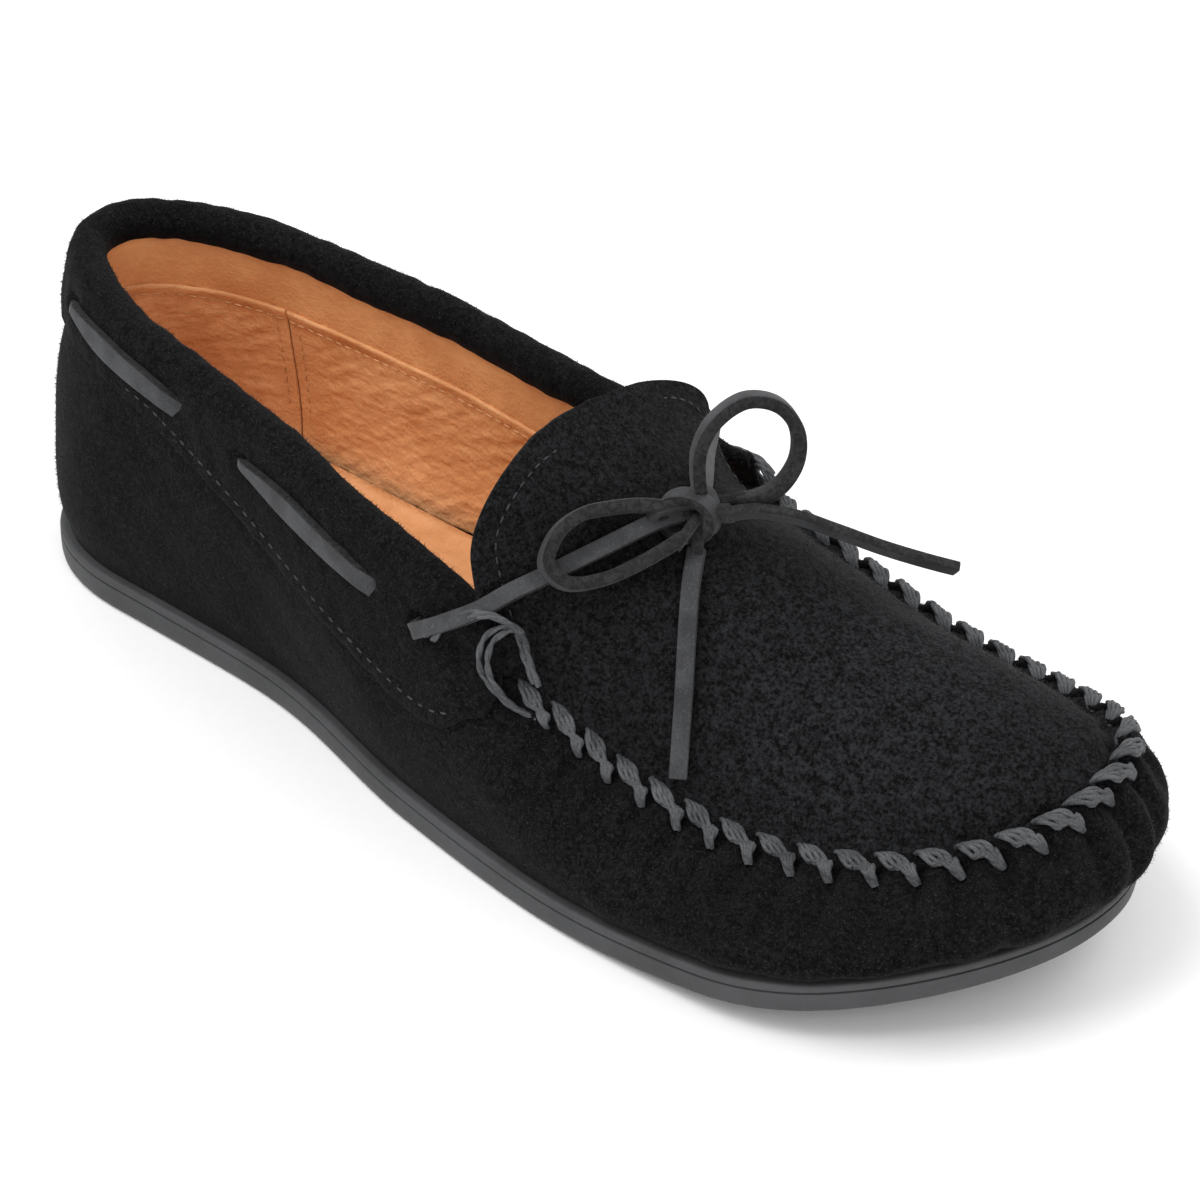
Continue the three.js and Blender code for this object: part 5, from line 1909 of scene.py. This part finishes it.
@dataclass
class PlugAndTongue:
    """Plug and standing tongue, cut from one sheet that bends at the throat."""

    base_bow: float = 17
    tongue_back: float = 12.5
    tongue_half: float = 36.5
    tongue_rows: int = 84
    plug_rows: int = 190
    columns: int = 131
    stitch_inset: float = 4.0
    hinge: Triple = (0.022, 0.0, 0.070)
    fold: Triple = (-0.447, 0.0, 0.894)

    def build(self) -> None:
        """Makes the suede sheet, its lining and the tongue's stitch row."""
        grid = self._grid()
        piece = shell("plug_and_tongue_suede", grid, SIZES.suede, edge=0.4)
        dress(piece, PLUG_SUEDE_PAINTED_HIGHLIGHT, ["plug", "tongue"], None)
        self._bend(piece)
        fibres = dress(nap("plug_and_tongue_nap", grid), NAP, (), None)
        self._bend(fibres)
        trimmed = grid[3:-26:2, 5:-5]
        lining = trimmed - grid_normals(trimmed, False) * (SIZES.suede + 0.22)
        back = shell("plug_and_tongue_lining", lining, SIZES.backing)
        dress(back, SUEDE_BACK, ["plug_lining", "tongue_lining"], None)
        self._bend(back)
        rows = MachineStitches("black_stitch_rows", BLACK_THREAD)
        edge = rows.grow("tongue_stitches", self._edge_rows(grid), Thickness=0.0005, Stitch=0.0018)
        dress(edge, BLACK_THREAD, (), None)
        self._bend(edge)

    def _bend(self, piece: Piece) -> None:
        """Bakes a piece's transform into its mesh; the hinge and fold are read but not used."""
        hinge, fold = np.array(self.hinge), np.array(self.fold)
        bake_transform(piece)

    @staticmethod
    def ridge(x: Array) -> Array:
        """Height of the plug's middle line.

        Args:
            x: places along the shoe.

        Returns:
            The heights.
        """
        z = SIZES
        reach = (x - z.knot_x) / (z.length / 2 - 7.5 - z.knot_x)
        return along(reach, [(-0.5, z.instep + 17), (0, z.instep - 1), (0.2, z.instep - 7.5),
                             (0.4, z.instep - 12.5), (0.68, z.instep - 17.5),
                             (0.88, mix(z.seam_toe, z.instep, 0.2)), (1, z.seam_toe)])

    def _plug_row(self, angles: Array) -> tuple[Array, Array, Array]:
        """Outer edge, middle and inner edge of the plug's rows.

        Args:
            angles: places round the loop.

        Returns:
            Three lines of points.
        """
        inset = SIZES.suede + SIZES.gap

        def edge(angle: Array) -> Array:
            """The plug's edge, beside the vamp's."""
            return LAST.vamp_top(angle) - LAST.outward(LAST.vamp_top, angle) * inset

        near, far = edge(angles), edge(TURN - angles)
        bow = self.base_bow * (1 - smooth(SIZES.plug_start - 0.08, 0.82, LAST.share(angles)))
        x = (near[:, 0] + far[:, 0]) / 2 + bow
        return near, np.stack([x, (near[:, 1] + far[:, 1]) / 2, self.ridge(x)], -1), far

    def _tongue_row(self, rise: Array) -> tuple[Array, Array, Array]:
        """Outer edge, middle and inner edge of the tongue's rows.

        Args:
            rise: share of the way up from the throat.

        Returns:
            Three lines of points.
        """
        near, middle, far = (row[0] for row in self._plug_row(np.array([LAST.angle_at(SIZES.plug_start)])))
        top = SIZES.instep + SIZES.tongue_rise
        rear = [np.array([self.tongue_back + 1.5, -self.tongue_half, top - 2.5]),
                np.array([self.tongue_back, 0, top]),
                np.array([self.tongue_back + 1.5, self.tongue_half, top - 8])]
        part = rise[:, None]
        waist = np.sin(math.pi * rise)[:, None] ** 0.7 * np.array([0, 1.0, 0])
        return (mix(near, rear[0], part) - 3.5 * waist, mix(middle, rear[1], part), mix(far, rear[2], part)
                - 4.0 * waist)

    def _grid(self) -> Array:
        """Upper face of the sheet, from the tongue's free edge to the toe."""
        rise = 1 - np.linspace(0.06, 1, self.tongue_rows) ** 1.5
        throat = float(LAST.angle_at(SIZES.plug_start))
        angles = np.linspace(throat, math.pi - 0.035, self.plug_rows)
        parts = [np.concatenate(pair) for pair in zip(self._tongue_row(rise[:-1]), self._plug_row(angles))]
        near, middle, far = (p[:, None] for p in parts)
        w = np.linspace(-1, 1, self.columns)
        w = np.sign(w) * (1 - (1 - np.abs(w)) ** 1.25)
        tongue = len(rise) - 1
        rows = len(near)
        above = np.concatenate([rise[:-1], np.zeros(len(angles))])
        narrow = np.where(w[None] < 0, *(rounded(1 - above, reach, 2.3)[:, None] for reach in (0.36, 0.26)))
        place = (w[None] * narrow)[..., None]
        grid = middle + ((near + far) / 2 - middle) * place**2 + (far - near) * place / 2
        number = np.arange(rows)[:, None]
        soften = np.exp(-(((number - tongue) / 22.0) ** 2)) * (1 - np.abs(w[None]) ** 10)
        grid = relax(grid, 60, 0.5 * soften, axis=0)
        half = np.linalg.norm(far - near, axis=-1) / 2 * narrow
        inboard = (1 - np.abs(w[None])) * half
        sewn = smooth(tongue - 4, tongue + 8, number)
        seam_angle = np.concatenate([np.full(tongue, throat), angles])
        pull = np.where(w[None] < 0, *(SEAM.pull(angle, -0.5 * SEAM.slant)[:, None]
                                       for angle in (seam_angle, TURN - seam_angle)))
        dip = np.exp(-(((inboard - 3.2) / 2.2) ** 2)) * (0.75 + 0.75 * pull)
        stand = smooth(2.4, 0.2, inboard) * (1.5 - 0.5 * pull)
        radiate = np.exp(-inboard / 6.0) * (0.25 - 0.5 * pull) * smooth(2.0, 5.0, inboard)
        swell = 0.4 * ripple(grid, 52, 61) + 0.15 * ripple(grid, 18, 62)
        raised = (stand - dip + radiate) * sewn + swell * smooth(0, 12, inboard)
        normals = grid_normals(grid, False)
        normals = np.where(normals[..., 2:] < 0, -normals, normals)
        return grid + normals * raised[..., None]

    def _edge_rows(self, grid: Array) -> list[Array]:
        """Stitch row just inside the tongue's free edge.

        Args:
            grid: the sheet's upper face.

        Returns:
            The row, as the only line of a list.
        """
        tongue = self.tongue_rows - 1
        inner = grid[: tongue - 4]
        half = np.linalg.norm(inner[:, -1] - inner[:, 0], axis=-1) / 2
        back = lengths(inner[:, self.columns // 2])
        outline_q = np.concatenate([-half[::-1], half])
        outline_p = np.concatenate([back[::-1], back])
        p = back[-1] + (outline_p - back[-1]) * (1 - self.stitch_inset / back[-1])
        q = outline_q * (1 - self.stitch_inset / half.max())
        rows = np.interp(p, back, np.arange(len(back)))
        width = np.interp(rows, np.arange(len(half)), half)
        w = np.clip(q / width, -0.97, 0.97)
        w = np.sign(w) * (1 - (1 - np.abs(w)) ** (1 / 1.25))
        columns = (w + 1) / 2 * (self.columns - 1)
        line = sample(grid, rows, columns)
        normals = grid_normals(grid, False)
        lift = sample(np.where(normals[..., 2:] < 0, -normals, normals), rows, columns)
        return [relax((line + lift * 0.12)[None], 30)[0]]


@dataclass
class WhipSeam:
    """Whip stitches of plied thread over the joined edges of vamp and plug."""

    strands: int = 4
    spread: float = 1.3

    LOOSE_LOOP = ((4.8, 0.9, -1.9), (0.5, 2.6, -0.8), (-3.6, 3.0, 5.0), (-3.2, 1.6, 12.4), (0.0, -0.7, 16.0),
                  (2.5, -1.2, 9.2), (4.5, -1.2, 4.6))
    TUCKED_END = ((1.0, -0.7, 15.9), (-1.8, 0.6, 17.6), (-5.0, 1.5, 17.0), (-10.0, 3.2, 11.9),
                  (-12.5, 3.9, 6.4))
    INNER_HEIGHT = 0.45

    def build(self) -> None:
        """Makes every stitch and the anchoring stitches at both ends of the seam."""
        lines = [line for place in SEAM.stitches() for line in self._stitch(place)]
        lines += self._anchor(1) + self._anchor(-1)
        tree = PliedThread("plied_seam_thread", SEAM_THREAD)
        sewn = tree.grow("whip_stitches", lines, Ply_radius=0.0005, Offset=0.00025, Lay=0.0085)
        dress(sewn, SEAM_THREAD, ["seam_thread"])

    def _stitch(self, place: float) -> list[Array]:
        """Strand lines of one stitch, from its hole in the vamp over the ridge to its hole in the plug.

        Args:
            place: distance along the seam of the stitch's middle.

        Returns:
            A line for each strand.
        """
        rng = np.random.default_rng(1000 + int(place * 10))
        slant = SEAM.slant * rng.uniform(0.88, 1.1)
        ahead = np.array([0.5, 0.4, 0.28, 0.14, -0.02, -0.18, -0.34, -0.5]) * slant
        gather = np.array([0.1, 0.35, 0.75, 1.0, 1.05, 0.95, 0.65, 0.25])
        lines = []
        for strand in range(self.strands):
            beside = (strand - (self.strands - 1) / 2) * self.spread
            angle = SEAM.angle(place + ahead + beside * gather)
            top, out = LAST.vamp_top(angle), LAST.outward(LAST.vamp_top, angle)
            level = 1 + np.array([-1.5, -1.0, -0.1]) / LAST.wall_height(angle[:3])
            side = LAST.inside(angle[:3], level[:, None], -np.array([[-0.8], [1.0], [1.6]]))[:, 0]
            lift = rng.uniform(-0.2, 0.2)
            route = ((1.3, 1.1), (0.3, 2.3 + lift), (-1.1, 2.5 + lift), (-2.3, 1.8), (-3.3, -0.4))
            over = [top[3 + k] + out[3 + k] * across + UP * rise for k, (across, rise) in enumerate(route)]
            lines.append(through([*side, *over], 0.5))
        return lines

    def _anchor(self, hand: int) -> list[Array]:
        """Loose loop and tucked end where the thread is fastened at the collar.

        Args:
            hand: 1 at the seam's outer end, -1 at its inner end.

        Returns:
            Two lines for each.
        """
        total = SEAM.travelled[-1]
        lines = []
        for points in (self.LOOSE_LOOP, self.TUCKED_END):
            for beside in (-0.65, 0.65):
                place = np.array([p[0] for p in points]) + beside
                angle = SEAM.angle(place if hand > 0 else total - place)
                top, out = LAST.vamp_top(angle), LAST.outward(LAST.vamp_top, angle)
                offsets = np.array([p[1:] for p in points]) * (1, 1 if hand > 0 else self.INNER_HEIGHT)
                route = top + out * offsets[:, :1] + UP * offsets[:, 1:]
                lines.append(through(route, 0.5))
        return lines


@dataclass
class Bow:
    """Knot, two loops and two free ends of the thong."""

    step: float = 0.7
    width: float = 4.3
    tail_width: float = 3.8
    thick: float = 2.2
    loop_thick: float = 2.9

    LOOP_LEFT = [[-3.4, -6.2, 3], [-7, -9.4, 3.4], [-10.6, -14.4, 3.6], [-12.6, -21, 4.2], [-13, -28, 2.4],
                 [-12.4, -31.4, -3], [-9, -29.4, -6.6], [-4.9, -22.8, -7.2], [-1.4, -15.6, -5.4],
                 [1.6, -9.4, -2.8], [2.6, -6.6, -1.6]]
    LOOP_RIGHT = [[0.2, 1.4, 5.2], [0, 1, 9.5], [0, 1.5, 15], [1.2, 4.5, 20.5], [4.8, 10, 24.5], [9, 15, 23],
                  [12, 18, 17], [13, 17, 10.5], [12.4, 12.5, 6], [10.2, 8.2, 4.2], [7.4, 5.6, 3.4]]
    TAIL_SIDE = [[7.6, 1.6, 2.2], [12, 5, 3.2], [18, 10.5, 1.8], [24.5, 16.5, -1.8], [31.5, 23, -6],
                 [38, 29.5, -9.6], [42.5, 34, -11.8]]
    TAIL_FRONT = [[4.1, -3.8, -5.4], [8, -10.1, -9.6], [12.8, -16.8, -16.4], [16.9, -22.3, -24.1],
                  [20.4, -27.3, -32], [23.1, -31.2, -39]]
    FACING = (0.5, -0.55, 0.6)

    def build(self) -> None:
        """Makes the cords first, then the knot."""
        self._cord("bow_loop_left_thong", "bow_loop_left", self.LOOP_LEFT)
        self._cord("bow_loop_right_thong", "bow_loop_right", self.LOOP_RIGHT)
        self._cord("lace_tail_side_thong", "lace_tail_side", self.TAIL_SIDE, (0.3, -0.5, 0.8))
        self._cord("lace_tail_front_thong", "lace_tail_front", self.TAIL_FRONT, (0.75, 0.66, 0.15))
        self._knot()

    @property
    def centre(self) -> Array:
        """Middle of the knot."""
        return np.array([SIZES.knot_x, 0, SIZES.instep + SIZES.knot_lift])

    def _cord(self, name: str, node: str, points: list[list[float]],
              wide: Triple | None = None) -> None:
        """A loop or a free end as a flat thong.

        Args:
            name: the piece's name.
            node: the frame node that it stands for.
            points: its route from the knot's middle.
            wide: direction across its width, or None for the normal of the loop's plane.
        """
        line = through(points, self.step) + self.centre
        across = np.array(wide) if wide else np.linalg.svd(line - line.mean(0))[2][2]
        facing = np.array(self.FACING) if wide else None
        width, thick = (self.tail_width, self.thick) if wide else (self.width, self.loop_thick)
        piece = dress(thong(name, line, across, width, thick, facing), THONG, [node])
        path = (line + LAST.shift) * MM
        tuple(path[0])
        float(lengths(path)[-1])

    def _knot(self) -> None:
        """Two turns of thong round the strands that pass through the knot."""
        pieces = []
        turns = np.linspace(0, TURN, 60)
        for across, tilt, wide, tall, lift in ((-1.9, 0.34, 5.7, 4.3, 0.2), (2.0, -0.42, 4.9, 3.9, -0.4)):
            ahead = np.array([math.cos(tilt), math.sin(tilt), 0])
            beside = np.array([-math.sin(tilt), math.cos(tilt), 0])
            ring = (self.centre + np.array([0, across, lift]) + np.outer(np.cos(turns) * wide, ahead)
                    + np.outer(np.sin(turns) * tall, UP) + np.outer(np.sin(turns) * 0.8, beside))
            pieces.append(thong("knot_turn", ring, beside, self.width, self.thick))
        strands = [
            [[-3.6, -9.0, 2.9], [-2.6, -4.0, 2.2], [-0.5, 1.0, 1.0], [4.0, 5.0, 1.6], [8.5, 7.0, 3.6]],
            [[3.2, -8.6, -2.0], [2.4, -4.0, -0.8], [1.5, 0.5, -0.6], [4.0, 1.8, 0.6], [8.2, 2.2, 2.5]],
            [[-4.2, -7.0, -0.4], [-2.6, -2.0, -0.8], [1.0, -1.0, -1.6], [3.2, -2.6, -3.6], [4.6, -4.6, -5.9]],
            [[-3.6, 7.0, -0.4], [-2.4, 2.5, 0.4], [-0.8, 0.6, 2.0], [0.0, 1.2, 4.2], [0.2, 1.4, 6.4]],
        ]
        for points in strands:
            line = through(points, self.step) + self.centre
            pieces.append(thong("knot_strand", line, np.array([0.5, -0.2, 0.85]), self.width * 0.95,
                                self.thick, np.array(self.FACING)))
        dress(join(pieces, "bow_knot_thong"), THONG, ["bow_knot"])


def join(parts: Sequence[Piece], name: str) -> Piece:
    """One object out of several meshes.

    Args:
        parts: the objects, which are used up.
        name: the new object's name.

    Returns:
        The joined object.
    """
    bpy.ops.object.select_all(action="DESELECT")
    for part in parts:
        part.select_set(True)
    bpy.context.view_layer.objects.active = parts[0]
    bpy.ops.object.join()
    parts[0].name = name
    parts[0].data.name = name
    return parts[0]


@dataclass
class CollarStitches:
    """Stitch row above the lower edge of the collar's leaf."""

    inset: float = 3.2

    def build(self) -> None:
        """Makes the row on both sides of the shoe."""
        end = float(LAST.angle_at(SIZES.cuff_end)) - 0.045
        angles = np.linspace(-end, end, 700)
        lap = LAST.lap_depth(LAST.share(angles))
        keep = lap > self.inset - 0.4
        level = 1 - (lap - np.minimum(self.inset, lap)) / LAST.wall_height(angles)
        line = LAST.inside(angles, level[:, None], -SIZES.cuff - 0.32 - 0.1)[:, 0]
        tree = MachineStitches("collar_stitch_rows", BLACK_THREAD)
        sides = [line[keep & (angles < 0)], line[keep & (angles > 0)]]
        row = tree.grow("collar_stitches", sides, Thickness=0.0006, Pitch=0.0034, Stitch=0.0019)
        dress(row, BLACK_THREAD)


def main() -> None:
    """Builds the scene and the shoe, one sub-assembly after another."""
    logging.basicConfig(level=logging.INFO, format="%(name)s %(message)s")
    Studio().build()
    for part in (Bow(), Lacing(), SoleUnit(), Upper(), PlugAndTongue(), WhipSeam(), CollarStitches()):
        log.info("building %s", type(part).__name__)
        part.build()


if __name__ == "__main__":
    main()
